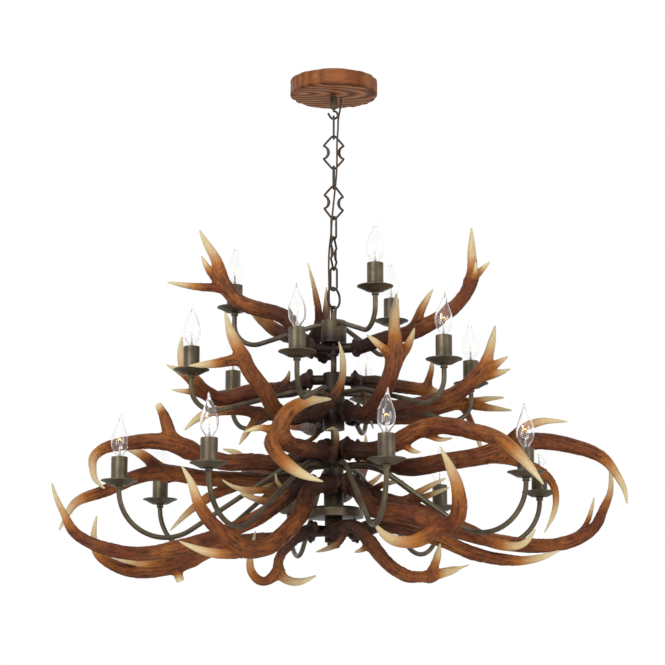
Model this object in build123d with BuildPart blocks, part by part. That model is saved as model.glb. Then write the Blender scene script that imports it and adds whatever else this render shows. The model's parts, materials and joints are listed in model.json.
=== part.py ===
"""Antler chandelier with seventeen candle lamps on three tiers of bent arms, in millimetres.

The origin is the middle of the ceiling face, +Z is up and +Y runs away from the viewer.
"""
from build123d import *
from math import acos, atan2, cos, radians, sin, tan
from typing import NamedTuple
import os

# Ceiling rose and its bracket
rose_radius = 91
rose_height = 35
rose_edge_round = 5
rose_cavity_radius = 72
rose_cavity_depth = 20
bracket_length = 120
bracket_width = 30
bracket_thickness = 3
bracket_hole_spacing = 80
bracket_hole_radius = 2.6
boss_radius = 10
boss_height = 14
thread_radius = 5
thread_depth = 11
collar_radius = 7
collar_height = 26
collar_edge = 1.5
fit_clearance = 0.05
clearance = 0.3

# Supply cord and the block that joins it to the mains
cord_radius = 2
cord_hole_radius = 2.4
cord_x = 16
cord_y = 12
terminal_length = 30
terminal_width = 14
terminal_height = 12

# Hook, chain links and ring
wire_radius = 2.25
hook_radius = 8.25
hook_centre_drop = 73.75
hook_opening = 120
hook_tail = 9
link_gap = 0.4
link_bow_radius = 6.75
plain_link_inner = 43
ornate_link_inner = 65
ornate_shoulder_x = 20.5
ornate_shoulder_z = 14
ornate_waist_x = 11
ornate_shoulder_round = 4.5
ornate_waist_round = 10
ring_radius = 21.5
ring_wire_radius = 2.4
ring_bearing = 55

# Neck, stem and turned hubs; each drop is measured down from the top hub's upper face
eye_hole_radius = 3.9
eye_wall = 3.1
eye_thickness = 5
neck_length = 25
stem_radius = 6
stem_bore_radius = 4
hub_edge_round = 3
socket_depth = 5
top_hub_radius = 26
top_hub_height = 46
top_spool_radius = 10
top_spool_height = 72
middle_hub_radius = 22
middle_hub_drop = 108
middle_hub_height = 117
bottom_hub_radius = 20
bottom_hub_drop = 252
plate_radius = 60
plate_drop = 383
plate_thickness = 20
plate_edge_round = 8
under_hub_radius = 18
under_hub_height = 49
cap_nut_radius = 13
cap_nut_height = 12
cap_nut_round = 5

# Arms, pans and candles
arm_radius = 5
arm_wall = 1.2
top_arm_count = 3
top_arm_bearing = 53.4
top_arm_reach = 205
top_arm_drop = 9
top_arm_slope = 17
top_arm_knee = 30
top_arm_bend = 42
top_bend_drop = 4
top_pan_drop = -34
middle_arm_count = 6
middle_arm_bearing = 16.3
middle_arm_reach = 296
middle_arm_drop = 150
middle_arm_slope = 16
middle_arm_knee = 60
middle_arm_bend = 46
middle_bend_drop = 150
middle_pan_drop = 114
bottom_arm_count = 8
bottom_arm_bearing = 12.8
bottom_arm_reach = 434
bottom_arm_drop = 298
bottom_arm_slope = 34.5
bottom_arm_knee = 100
bottom_arm_bend = 92
bottom_bend_drop = 358
bottom_pan_drop = 338
pan_radius = 36.3
pan_depth = 11
pan_wall = 1.6
pan_floor_radius = 19
pan_lip = 1.4
pan_collar_radius = 7
pan_collar_height = 8
wire_hole_radius = 2
candle_radius = 16.25
candle_wall = 1.5
candle_height = 55
holder_radius = 13.5
holder_height = 53
cap_radius = 6.8
cap_depth = 26
cap_socket_radius = 7
bulb_radius = 17.5
bulb_neck_radius = 6.3
bulb_height = 87
bulb_tip_radius = 1.6
bulb_wall = 0.9

# Antlers: bosses and studs that hold them, burrs at their bases
seat_radius = 42
boss_girth = 10
stud_radius = 3
stud_start = 26
stud_length = 32
root_run = 14
burr_height = 8
burr_extra = 2
burr_edge = 1.6
tine_tip_radius = 1.3
beam_tip_radius = 1.8
top_antler_drop = 58
middle_high_antler_drop = 122
middle_low_antler_drop = 194
bottom_high_antler_drop = 270
bottom_low_antler_drop = 340
under_antler_drop = 430

# Heights that follow from the sizes above
hook_bow_z = -hook_centre_drop - hook_radius
link_lap = 2 * wire_radius + link_gap
plain_link_length = plain_link_inner + 2 * wire_radius
ornate_link_length = ornate_link_inner + 2 * wire_radius
chain = [
    ("chain_link_plain_1", False, 90),
    ("chain_link_ornate_1", True, 4),
    ("chain_link_plain_2", False, 84),
    ("chain_link_ornate_2", True, 22),
    ("chain_link_plain_3", False, -42),
    ("chain_link_ornate_3", True, 74),
    ("chain_link_plain_4", False, -14),
]
bow_heights = [hook_bow_z]
for link_name, is_ornate, link_bearing in chain:
    link_length = ornate_link_length if is_ornate else plain_link_length
    bow_heights.append(bow_heights[-1] + link_lap - link_length)
ring_lap = wire_radius + ring_wire_radius + link_gap
ring_centre_z = bow_heights[-1] + ring_lap - ring_radius
ring_bow_z = ring_centre_z - ring_radius
eye_centre_z = ring_bow_z + ring_wire_radius + link_gap - eye_hole_radius
hub_z = eye_centre_z - neck_length
plate_z = hub_z - plate_drop
under_hub_z = plate_z - plate_thickness
stem_bottom_z = under_hub_z - under_hub_height
top_antler_level = hub_z - top_antler_drop
middle_high_antler_level = hub_z - middle_high_antler_drop
middle_low_antler_level = hub_z - middle_low_antler_drop
bottom_high_antler_level = hub_z - bottom_high_antler_drop
bottom_low_antler_level = hub_z - bottom_low_antler_drop
under_antler_level = hub_z - under_antler_drop
tiers = {
    "top": (
        top_arm_count, top_arm_bearing, top_arm_reach, hub_z - top_arm_drop, top_arm_slope, top_arm_knee,
        top_arm_bend, hub_z - top_bend_drop, hub_z - top_pan_drop, top_hub_radius,
    ),
    "middle": (
        middle_arm_count, middle_arm_bearing, middle_arm_reach, hub_z - middle_arm_drop, middle_arm_slope,
        middle_arm_knee, middle_arm_bend, hub_z - middle_bend_drop, hub_z - middle_pan_drop, middle_hub_radius,
    ),
    "bottom": (
        bottom_arm_count, bottom_arm_bearing, bottom_arm_reach, hub_z - bottom_arm_drop, bottom_arm_slope,
        bottom_arm_knee, bottom_arm_bend, hub_z - bottom_bend_drop, hub_z - bottom_pan_drop, bottom_hub_radius,
    ),
}
pan_floor_z = pan_wall - pan_depth

os.makedirs("parts", exist_ok=True)


def finish(piece, name):
    piece.part.label = name
    export_step(piece.part, f"parts/{name}.step")


def upright_plane(bearing, z=0):
    """Plane that stands on edge through the axis; its X points along the bearing."""
    across = radians(bearing)
    return Plane(origin=(0, 0, z), x_dir=(cos(across), sin(across), 0), z_dir=(sin(across), -cos(across), 0))


def outward_plane(bearing, distance, z):
    """Plane that faces outwards from the axis along the bearing."""
    along = radians(bearing)
    direction = Vector(cos(along), sin(along), 0)
    return Plane(origin=direction * distance + Vector(0, 0, z), x_dir=(0, 0, 1), z_dir=direction)


# Ceiling rose: a wooden disc, hollow above
with BuildPart() as ceiling_rose:
    with BuildSketch(Plane.XY.offset(-rose_height)):
        Circle(rose_radius)
    extrude(amount=rose_height)
    fillet(ceiling_rose.edges().group_by(Axis.Z)[0], rose_edge_round)
    with BuildSketch():
        Circle(rose_cavity_radius)
    extrude(amount=-rose_cavity_depth, mode=Mode.SUBTRACT)
    with BuildSketch(Plane.XY.offset(-rose_height)):
        Circle(thread_radius + clearance)
        with Locations((cord_x, cord_y)):
            Circle(cord_hole_radius)
    extrude(amount=rose_height, mode=Mode.SUBTRACT)
finish(ceiling_rose, "ceiling_rose")

# Bracket: a bar against the ceiling with a boss for the threaded rod
with BuildPart() as ceiling_bracket:
    with BuildSketch(Plane.XY.offset(-bracket_thickness)):
        SlotOverall(bracket_length, bracket_width)
        with GridLocations(bracket_hole_spacing, 0, 2, 1):
            Circle(bracket_hole_radius, mode=Mode.SUBTRACT)
    extrude(amount=bracket_thickness)
    with BuildSketch(Plane.XY.offset(-bracket_thickness - boss_height)):
        Circle(boss_radius)
    extrude(amount=boss_height)
    with BuildSketch(Plane.XY.offset(-bracket_thickness - boss_height)):
        Circle(thread_radius + fit_clearance)
    extrude(amount=thread_depth, mode=Mode.SUBTRACT)
finish(ceiling_bracket, "ceiling_bracket")

with BuildPart() as terminal_block:
    with BuildSketch(Plane.XY.offset(-bracket_thickness)):
        with Locations((cord_x, boss_radius + terminal_width / 2 + clearance)):
            Rectangle(terminal_length, terminal_width)
    extrude(amount=-terminal_height)
    chamfer(terminal_block.edges().filter_by(Axis.Z), 1)
finish(terminal_block, "terminal_block")

# Threaded rod with the turned collar that holds the rose up
collar_top_z = -rose_height
collar_bottom_z = collar_top_z - collar_height
with BuildPart() as rose_nipple:
    with BuildSketch(Plane.XY.offset(collar_bottom_z)):
        Circle(collar_radius)
    extrude(amount=collar_height)
    chamfer(rose_nipple.edges().group_by(Axis.Z)[0], collar_edge)
    with BuildSketch(Plane.XY.offset(collar_top_z)):
        Circle(thread_radius)
    extrude(amount=rose_height - bracket_thickness - boss_height + thread_depth)
    with BuildSketch(Plane.XY.offset(collar_bottom_z)):
        Circle(wire_radius + fit_clearance)
    extrude(amount=collar_height / 2, mode=Mode.SUBTRACT)
finish(rose_nipple, "rose_nipple")

# Open hook: a shank in the collar, bent round to a free end on the left
shank_top_z = collar_bottom_z + collar_height / 2
shank_foot_z = hook_radius - hook_centre_drop
hook_turn = radians(hook_opening - 90)
hook_end_point = (-hook_radius * cos(hook_turn), -hook_centre_drop - hook_radius * sin(hook_turn))
hook_tip = (hook_end_point[0] - hook_tail * sin(hook_turn), hook_end_point[1] + hook_tail * cos(hook_turn))
with BuildPart() as hook:
    with BuildSketch(Plane.XY.offset(shank_foot_z)):
        Circle(wire_radius)
    extrude(amount=shank_top_z - shank_foot_z)
    with Locations((0, 0, shank_foot_z)):
        Sphere(wire_radius)
    with BuildLine(Plane.XZ) as hook_line:
        CenterArc((0, -hook_centre_drop), hook_radius, 90, hook_opening - 360)
        Line(hook_end_point, hook_tip)
    with BuildSketch(Plane(origin=(0, 0, shank_foot_z), z_dir=(1, 0, 0))) as hook_end:
        Circle(wire_radius)
    sweep(sections=hook_end.sketch, path=hook_line.wire())
finish(hook, "hook")


# Chain: plain and ornate links in turn, each hung in the bow of the one above
def plain_link(name, top_z, bearing):
    middle_z = top_z - plain_link_length / 2
    bow_offset = plain_link_length / 2 - link_bow_radius
    with BuildPart() as link:
        with BuildLine(upright_plane(bearing, middle_z)) as loop:
            side = Line((link_bow_radius, bow_offset), (link_bow_radius, -bow_offset))
            CenterArc((0, -bow_offset), link_bow_radius, 0, -180)
            Line((-link_bow_radius, -bow_offset), (-link_bow_radius, bow_offset))
            CenterArc((0, bow_offset), link_bow_radius, 180, -180)
        with BuildSketch(Plane(origin=side @ 0, z_dir=side % 0)) as wire_end:
            Circle(wire_radius)
        sweep(sections=wire_end.sketch, path=loop.wire())
    finish(link, name)


def ornate_link(name, top_z, bearing):
    """Long link with a narrow bow at each end, four shoulders and a drawn-in waist."""
    half = ornate_link_length / 2
    rise = half - link_bow_radius - ornate_shoulder_z
    reach = (ornate_shoulder_x**2 + rise**2) ** 0.5
    lean = acos(link_bow_radius / reach) - atan2(rise, ornate_shoulder_x)
    apex = half - link_bow_radius + link_bow_radius / sin(lean)
    corners = [
        (ornate_waist_x, 0), (ornate_shoulder_x, -ornate_shoulder_z), (0, -apex),
        (-ornate_shoulder_x, -ornate_shoulder_z), (-ornate_waist_x, 0),
        (-ornate_shoulder_x, ornate_shoulder_z), (0, apex), (ornate_shoulder_x, ornate_shoulder_z),
    ]
    half_rounds = [ornate_waist_round, ornate_shoulder_round, link_bow_radius, ornate_shoulder_round]
    with BuildPart() as link:
        with BuildLine(upright_plane(bearing, top_z - half)) as loop:
            FilletPolyline(*corners, radius=half_rounds * 2, close=True)
        side = loop.edges().filter_by(GeomType.LINE).sort_by(Edge.length)[-1]
        with BuildSketch(Plane(origin=side @ 0, z_dir=side % 0)) as wire_end:
            Circle(wire_radius)
        sweep(sections=wire_end.sketch, path=loop.wire())
    finish(link, name)


for (link_name, is_ornate, link_bearing), bow_z in zip(chain, bow_heights):
    if is_ornate:
        ornate_link(link_name, bow_z + link_lap, link_bearing)
    else:
        plain_link(link_name, bow_z + link_lap, link_bearing)

with BuildPart() as suspension_ring:
    with BuildLine(upright_plane(ring_bearing, ring_centre_z)) as ring_line:
        ring_circle = CenterArc((0, 0), ring_radius, 0, 360)
    with BuildSketch(Plane(origin=ring_circle @ 0, z_dir=ring_circle % 0)) as ring_end:
        Circle(ring_wire_radius)
    sweep(sections=ring_end.sketch, path=ring_line.wire())
finish(suspension_ring, "suspension_ring")

# Supply cord: runs in and out beside the links, from the terminal block to the top hub
cord_route = [
    (cord_x, cord_y, -bracket_thickness - terminal_height), (cord_x, cord_y, -46), (9, 8, -80), (9, -3, -106),
    (6.5, -9, -138), (7, -8, -176), (5, -7, -214), (1, -8, -252), (-3, -7.5, -290), (-5, -8, -326),
    (-9.5, -7, -362), (-10.5, -8, -400), (-9.5, -6.5, -436), (-9.5, -3, -470), (-9, -3.5, -498),
    (-9, -3.5, hub_z - socket_depth),
]


def smooth_route(points):
    """Runs of the cord joined by tangent arcs, each as large as its two runs allow."""
    rounds = []
    for before, corner, after in zip(points, points[1:], points[2:]):
        run_in = Vector(*corner) - Vector(*before)
        run_out = Vector(*after) - Vector(*corner)
        half_turn = radians(run_in.get_angle(run_out)) / 2
        rounds.append(0.45 * min(run_in.length, run_out.length) / tan(half_turn))
    print("cord bend radii:", [round(size) for size in rounds])
    return FilletPolyline(*points, radius=rounds)


with BuildPart() as supply_cord:
    with BuildLine() as cord_line:
        smooth_route(cord_route)
    with BuildSketch(Plane(origin=cord_line.wire() @ 0, z_dir=cord_line.wire() % 0)) as cord_end:
        Circle(cord_radius)
    sweep(sections=cord_end.sketch, path=cord_line.wire())
finish(supply_cord, "supply_cord")


class Antler(NamedTuple):
    """Points are (x, y, height above the seat's level); a tine is its girth and its points."""

    name: str
    level: float
    bearing: float
    girth: float
    beam: list
    tines: list


# Antlers, shaped by points chosen by hand along each beam and tine
antlers = [
    Antler(
        "antler_top_left", top_antler_level, bearing=200, girth=15, beam=[
            (-90, -35, 50), (-145, -35, 75), (-190, -35, 90), (-220, -30, 125), (-240, -25, 180),
            (-260, -20, 215), (-275, -15, 245),
        ], tines=[
            (8, [(-230, -30, 130), (-255, -20, 160), (-270, -20, 190)]),
            (8, [(-220, -30, 120), (-285, -25, 125), (-340, -20, 135)]),
        ],
    ),
    Antler(
        "antler_top_right", top_antler_level, bearing=-20, girth=15, beam=[
            (95, -50, 10), (150, -70, 20), (205, -75, 45), (250, -75, 80), (275, -70, 120),
            (280, -60, 170), (280, -55, 240),
        ], tines=[
            (8, [(275, -70, 125), (295, -75, 145), (315, -75, 165)]),
            (6, [(275, -70, 120), (285, -90, 145), (285, -95, 160)]),
            (8, [(160, -70, 25), (180, -70, 75), (200, -70, 110)]),
        ],
    ),
    Antler(
        "antler_top_back", top_antler_level, bearing=115, girth=14, beam=[
            (-65, 60, 30), (-100, 85, 45), (-140, 110, 75), (-170, 130, 105), (-190, 140, 130),
        ], tines=[
            (6, [(-150, 115, 85), (-155, 120, 105), (-155, 120, 125)]),
            (11, [(-45, 45, 25), (-30, 30, 55), (-35, 20, 125), (-50, 10, 185)]),
            (8, [(-30, 35, 25), (-20, 45, 65), (-15, 50, 140)]),
        ],
    ),
    Antler(
        "antler_middle_front_left", middle_low_antler_level, bearing=-140, girth=14, beam=[
            (-65, -60, -10), (-110, -95, -10), (-140, -130, 35), (-165, -145, 65), (-185, -150, 105),
            (-200, -150, 135), (-215, -140, 185),
        ], tines=[
            (9, [(-180, -150, 90), (-230, -150, 80), (-285, -150, 75)]),
            (10, [(-40, -45, -10), (-15, -70, 10), (15, -85, 50), (20, -90, 85), (10, -90, 135)]),
        ],
    ),
    Antler(
        "antler_middle_left", middle_high_antler_level, bearing=175, girth=14, beam=[
            (-70, 10, -10), (-130, 10, -20), (-190, 5, -30), (-230, 0, -40), (-260, 0, -25), (-290, 0, 5),
            (-310, 0, 45), (-310, 5, 90),
        ], tines=[
            (8, [(-280, 0, -5), (-310, -5, 15), (-340, -10, 30)]),
            (7, [(-255, 0, -30), (-290, 0, -25), (-330, 0, -20)]),
            (7, [(-110, 5, -15), (-95, 0, 0), (-90, 0, 20)]),
        ],
    ),
    Antler(
        "antler_middle_low_left", middle_low_antler_level, bearing=172, girth=11, beam=[
            (-110, -10, -5), (-170, -20, 5), (-225, -25, 5), (-265, -25, -5), (-300, -30, -35),
        ], tines=[
            (8, [(-150, -20, 0), (-170, -20, -30), (-190, -30, -65)]),
        ],
    ),
    Antler(
        "antler_middle_front_right", middle_low_antler_level, bearing=-55, girth=14, beam=[
            (65, -80, -10), (90, -115, 15), (105, -140, 40), (115, -150, 70), (120, -150, 110),
            (120, -140, 160), (125, -125, 225),
        ], tines=[
            (8, [(120, -150, 85), (95, -160, 110), (65, -160, 135)]),
            (8, [(120, -150, 85), (145, -140, 115), (160, -130, 155)]),
        ],
    ),
    Antler(
        "antler_middle_right_back", middle_high_antler_level, bearing=25, girth=13, beam=[
            (75, 25, 0), (130, 45, -5), (180, 60, -10), (220, 70, -20), (255, 85, -30),
        ], tines=[
            (8, [(190, 60, -10), (200, 60, 25), (205, 60, 60)]),
            (7, [(50, 10, 5), (55, -20, -25), (65, -25, -60), (80, -30, -105)]),
        ],
    ),
    Antler(
        "antler_middle_right", middle_low_antler_level, bearing=-3, girth=17, beam=[
            (90, 0, 5), (145, 0, 15), (195, 0, 25), (240, 5, 40), (275, 5, 65), (305, 5, 100),
            (320, 5, 140), (330, 5, 185),
        ], tines=[
            (8, [(300, 5, 90), (330, 0, 105), (355, -5, 120)]),
            (8, [(285, 5, 75), (330, 5, 85), (360, 0, 95)]),
        ],
    ),
    Antler(
        "antler_middle_low_right", middle_low_antler_level, bearing=42, girth=11, beam=[
            (105, 55, 0), (180, 90, 10), (230, 95, 30), (270, 105, 40), (315, 110, 50), (355, 120, 55),
        ], tines=[
            (7, [(275, 105, 40), (325, 100, 30), (370, 100, 25)]),
            (7, [(265, 105, 40), (290, 90, -15), (310, 80, -85)]),
        ],
    ),
    Antler(
        "antler_middle_back", middle_low_antler_level, bearing=105, girth=13, beam=[
            (-25, 95, -5), (-45, 160, -5), (-60, 225, 15), (-65, 275, 50), (-60, 305, 100),
        ], tines=[
            (8, [(-60, 215, 10), (-95, 255, 15), (-125, 270, 45)]),
            (8, [(-65, 260, 35), (-35, 300, 45), (-15, 315, 75)]),
        ],
    ),
    Antler(
        "antler_left_upper", bottom_high_antler_level, bearing=180, girth=16, beam=[
            (-80, 5, -15), (-145, 5, -20), (-215, 0, -20), (-260, -5, -10), (-310, -15, 10),
            (-370, -20, 20), (-420, -15, 15), (-465, -10, 5), (-485, -5, -15), (-485, -5, -35),
            (-480, -10, -55), (-460, -10, -75),
        ], tines=[
            (13, [(-295, -10, 5), (-325, -15, 25), (-340, -20, 65), (-355, -15, 95)]),
        ],
    ),
    Antler(
        "antler_left_inner", bottom_low_antler_level, bearing=160, girth=14, beam=[
            (-70, 25, 10), (-130, 40, 15), (-190, 45, 20), (-275, 50, 25), (-345, 50, 35), (-415, 45, 20),
            (-455, 40, 0), (-495, 35, -15), (-525, 35, -30), (-540, 30, -55), (-555, 30, -85),
        ], tines=[
            (10, [(-340, 50, 30), (-375, 55, 60), (-405, 60, 80), (-440, 60, 90)]),
            (11, [(-170, 45, 20), (-250, 75, -10), (-295, 85, -40), (-335, 90, -80)]),
        ],
    ),
    Antler(
        "antler_left_lower", bottom_low_antler_level, bearing=-148, girth=13, beam=[
            (-85, -45, -20), (-140, -80, -65), (-205, -105, -100), (-250, -120, -120), (-310, -120, -135),
            (-375, -110, -145), (-440, -100, -135), (-490, -90, -115), (-515, -80, -95), (-535, -70, -60),
            (-550, -65, -30), (-560, -60, 0),
        ], tines=[
        ],
    ),
    Antler(
        "antler_left_under", under_antler_level, bearing=160, girth=16, beam=[
            (-70, 25, -5), (-170, 50, -15), (-250, 60, -30), (-300, 60, -55), (-370, 55, -75),
            (-430, 50, -70), (-460, 45, -55), (-480, 40, -35), (-485, 35, 0), (-480, 35, 35),
        ], tines=[
            (10, [(-295, 60, -50), (-390, 35, -60), (-455, 10, -45)]),
            (11, [(-290, 60, -50), (-315, 60, -75), (-310, 60, -95)]),
        ],
    ),
    Antler(
        "antler_front_left", bottom_low_antler_level, bearing=-101, girth=15, beam=[
            (-45, -75, -15), (-60, -110, -55), (-75, -140, -85), (-105, -170, -120), (-130, -195, -140),
            (-165, -215, -145), (-195, -230, -130), (-230, -245, -100), (-255, -250, -65),
            (-270, -250, -25), (-290, -245, 10),
        ], tines=[
            (9, [(-150, -205, -145), (-200, -220, -155), (-245, -220, -150), (-295, -215, -130)]),
        ],
    ),
    Antler(
        "antler_front_right_upper", bottom_high_antler_level, bearing=-54, girth=15, beam=[
            (65, -65, -5), (120, -100, 5), (165, -135, 25), (210, -165, 30), (265, -200, 15),
            (320, -240, -10), (355, -270, -45), (395, -290, -100),
        ], tines=[
            (7, [(130, -105, 10), (155, -130, -15), (170, -150, -20)]),
            (6, [(170, -140, 25), (205, -150, 5), (230, -165, 5)]),
        ],
    ),
    Antler(
        "antler_front_right", bottom_low_antler_level, bearing=-50, girth=15, beam=[
            (65, -80, -40), (130, -140, -70), (175, -170, -85), (210, -195, -100), (230, -215, -95),
            (240, -225, -55), (225, -225, 5), (205, -220, 50),
        ], tines=[
            (12, [(200, -190, -100), (155, -215, -130), (115, -230, -130), (90, -240, -115), (75, -245, -95)]),
        ],
    ),
    Antler(
        "antler_under_right", under_antler_level, bearing=-90, girth=14, beam=[
            (5, -60, 0), (30, -70, 5), (60, -80, -15), (80, -80, -40), (105, -75, -70), (150, -65, -95),
            (205, -50, -90), (270, -30, -70),
        ], tines=[
            (8, [(190, -55, -95), (205, -60, -55), (210, -65, -30)]),
            (8, [(20, -70, 0), (10, -85, -30), (-5, -90, -40), (-35, -95, -50)]),
            (6, [(70, -80, -35), (55, -85, -45), (40, -90, -50)]),
        ],
    ),
    Antler(
        "antler_under_left", under_antler_level, bearing=-145, girth=11, beam=[
            (-55, -42, -6), (-85, -56, -30), (-108, -60, -62), (-104, -62, -92), (-78, -66, -106), (-35, -75, -95),
        ], tines=[
            (9, [(-110, -60, -85), (-140, -60, -105), (-160, -60, -90), (-165, -55, -55), (-155, -55, -5)]),
        ],
    ),
    Antler(
        "antler_front", bottom_high_antler_level, bearing=-104, girth=15, beam=[
            (-22, -72, -6), (-62, -120, -8), (-90, -145, -2), (-105, -160, 20), (-95, -160, 50),
            (-75, -150, 70), (-45, -130, 85), (-5, -115, 90),
        ], tines=[
            (11, [(-105, -160, 10), (-120, -180, -5), (-95, -195, -45), (-60, -200, -70), (-20, -205, -85)]),
            (8, [(-105, -160, 15), (-140, -170, 25), (-175, -175, 15)]),
            (8, [(-5, -60, -25), (5, -80, 10), (0, -90, 35), (-15, -100, 30)]),
        ],
    ),
    Antler(
        "antler_right_upper", bottom_high_antler_level, bearing=-6, girth=15, beam=[
            (75, -5, -5), (135, -10, -30), (235, -20, -20), (295, -20, -10), (350, -20, 10),
            (410, -15, 20), (485, -10, 10), (545, -5, -15), (570, 0, -45), (585, 0, -75), (590, 0, -105),
        ], tines=[
            (9, [(340, -20, 0), (365, -45, 30), (400, -60, 50), (465, -80, 50)]),
            (9, [(315, -20, -10), (395, 15, -25), (440, 25, -55), (450, 30, -85), (445, 30, -120), (425, 30, -160)]),
        ],
    ),
    Antler(
        "antler_right_outer", under_antler_level, bearing=25, girth=13, beam=[
            (75, 20, 10), (155, 30, 10), (235, 20, 5), (315, 25, -15), (380, 25, -25), (440, 30, -25),
            (495, 30, -10), (530, 30, 15), (545, 35, 45), (560, 35, 80), (560, 30, 140),
        ], tines=[
            (6, [(495, 30, -5), (515, 45, 25), (530, 50, 75)]),
        ],
    ),
    Antler(
        "antler_right_inner", bottom_low_antler_level, bearing=0, girth=13, beam=[
            (75, -15, -15), (130, -45, -40), (180, -60, -60), (230, -65, -80), (290, -60, -105),
            (350, -50, -125), (375, -50, -120), (400, -45, -90),
        ], tines=[
        ],
    ),
    Antler(
        "antler_right_under", under_antler_level, bearing=-33, girth=12, beam=[
            (75, -40, 5), (140, -50, 0), (210, -40, -20), (270, -35, -45), (350, -25, -60),
            (410, -20, -55), (450, -15, -40),
        ], tines=[
        ],
    ),
    Antler(
        "antler_back", bottom_low_antler_level, bearing=80, girth=14, beam=[
            (15, 95, -5), (30, 170, 10), (45, 250, 35), (60, 320, 70), (70, 360, 115), (70, 380, 160),
        ], tines=[
            (8, [(40, 225, 30), (80, 270, 40), (110, 290, 70)]),
            (8, [(50, 290, 55), (20, 335, 60), (0, 350, 90)]),
        ],
    ),
    Antler(
        "antler_back_left", bottom_high_antler_level, bearing=128, girth=14, beam=[
            (-50, 70, -15), (-100, 140, -25), (-150, 205, -20), (-190, 270, 5), (-205, 300, 35),
            (-240, 320, 50),
        ], tines=[
            (8, [(-130, 180, -20), (-130, 235, -15), (-125, 275, 15)]),
            (7, [(-160, 215, -20), (-215, 225, -25), (-260, 235, -10)]),
        ],
    ),
]


def branch(points, start_girth, end_girth, fullness, start_direction=None):
    """Tapered loft along a smooth curve, with sections that don't twist."""
    path = Edge.make_spline([Vector(*point) for point in points])
    count = 2 * len(points)
    across = Vector(0, 0, 1)
    sections = []
    for step in range(count + 1):
        share = step / count
        direction = (path % share).normalized()
        if step == 0 and start_direction:
            direction = start_direction
        across = (across - direction * across.dot(direction)).normalized()
        with BuildSketch(Plane(origin=path @ share, x_dir=across, z_dir=direction)) as section:
            Circle(end_girth + (start_girth - end_girth) * (1 - share**fullness))
        sections.append(section.sketch)
    loft(sections=sections)


def build_antler(shape):
    seat = outward_plane(shape.bearing, seat_radius, shape.level)
    start = seat.origin
    lead = start + seat.z_dir * root_run
    beam = [start, lead] + [Vector(x, y, shape.level + up) for x, y, up in shape.beam]
    with BuildPart() as antler:
        branch(beam, shape.girth, beam_tip_radius, 3, seat.z_dir)
        for girth, points in shape.tines:
            branch([(x, y, shape.level + up) for x, y, up in points], girth, tine_tip_radius, 1.8)
        with BuildSketch(seat):
            Circle(shape.girth + burr_extra)
        extrude(amount=burr_height)
        with BuildSketch(seat):
            Circle(stud_radius + fit_clearance)
        extrude(amount=stud_start + stud_length - seat_radius, mode=Mode.SUBTRACT)
    finish(antler, shape.name)


for shape in antlers:
    build_antler(shape)

# Studs that fasten the antlers to the bosses
with BuildPart() as antler_studs:
    for shape in antlers:
        with BuildSketch(outward_plane(shape.bearing, stud_start, shape.level)):
            Circle(stud_radius)
    extrude(amount=stud_length)
finish(antler_studs, "antler_studs")


def hub(outline, sockets=None):
    """Turned hub on the stem, with arm sockets and a boss for each antler at its height.

    outline lists (radius, top z, bottom z) of its turned steps; sockets is (count, bearing, level).
    """
    top_z = outline[0][1]
    bottom_z = outline[-1][2]
    with BuildPart() as piece:
        for radius, step_top, step_bottom in outline:
            with BuildSketch(Plane.XY.offset(step_bottom)):
                Circle(radius)
            extrude(amount=step_top - step_bottom)
        fillet(piece.edges().group_by(Axis.Z)[-1], hub_edge_round)
        seats = [shape for shape in antlers if bottom_z < shape.level < top_z]
        for shape in seats:
            with BuildSketch(outward_plane(shape.bearing, seat_radius, shape.level)):
                Circle(boss_girth)
            extrude(amount=-seat_radius + stem_radius)
        for shape in seats:
            with BuildSketch(outward_plane(shape.bearing, seat_radius, shape.level)):
                Circle(stud_radius + fit_clearance)
            extrude(amount=stud_start - seat_radius, mode=Mode.SUBTRACT)
        if sockets:
            count, bearing, level = sockets
            for turn in range(count):
                with BuildSketch(outward_plane(bearing + 360 / count * turn, outline[0][0] - socket_depth, level)):
                    Circle(arm_radius + fit_clearance)
                extrude(amount=socket_depth, mode=Mode.SUBTRACT)
        with BuildSketch(Plane.XY.offset(bottom_z)):
            Circle(stem_radius + fit_clearance)
        extrude(amount=top_z - bottom_z, mode=Mode.SUBTRACT)
    return piece


top_hub_turned = hub(
    [
        (top_hub_radius, hub_z, hub_z - top_hub_height),
        (top_spool_radius, hub_z - top_hub_height, hub_z - top_spool_height),
    ],
    (top_arm_count, top_arm_bearing, hub_z - top_arm_drop),
)
with BuildPart() as top_hub:
    add(top_hub_turned.part)
    with BuildSketch(Plane.XY.offset(hub_z)):
        with Locations(cord_route[-1][:2]):
            Circle(cord_hole_radius)
    extrude(amount=-socket_depth, mode=Mode.SUBTRACT)
finish(top_hub, "top_hub")
finish(
    hub(
        [(middle_hub_radius, hub_z - middle_hub_drop, hub_z - middle_hub_drop - middle_hub_height)],
        (middle_arm_count, middle_arm_bearing, hub_z - middle_arm_drop),
    ),
    "middle_hub",
)
finish(
    hub(
        [(bottom_hub_radius, hub_z - bottom_hub_drop, plate_z)],
        (bottom_arm_count, bottom_arm_bearing, hub_z - bottom_arm_drop),
    ),
    "bottom_hub",
)
finish(hub([(under_hub_radius, under_hub_z, stem_bottom_z)]), "under_hub")

# Bottom plate between the two lower hubs, and the nut that closes the stem
with BuildPart() as bottom_plate:
    with BuildSketch(Plane.XY.offset(under_hub_z)):
        Circle(plate_radius)
    extrude(amount=plate_thickness)
    fillet(bottom_plate.edges().group_by(Axis.Z)[-1], plate_edge_round)
    with BuildSketch(Plane.XY.offset(under_hub_z)):
        Circle(stem_radius + fit_clearance)
    extrude(amount=plate_thickness, mode=Mode.SUBTRACT)
finish(bottom_plate, "bottom_plate")

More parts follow.
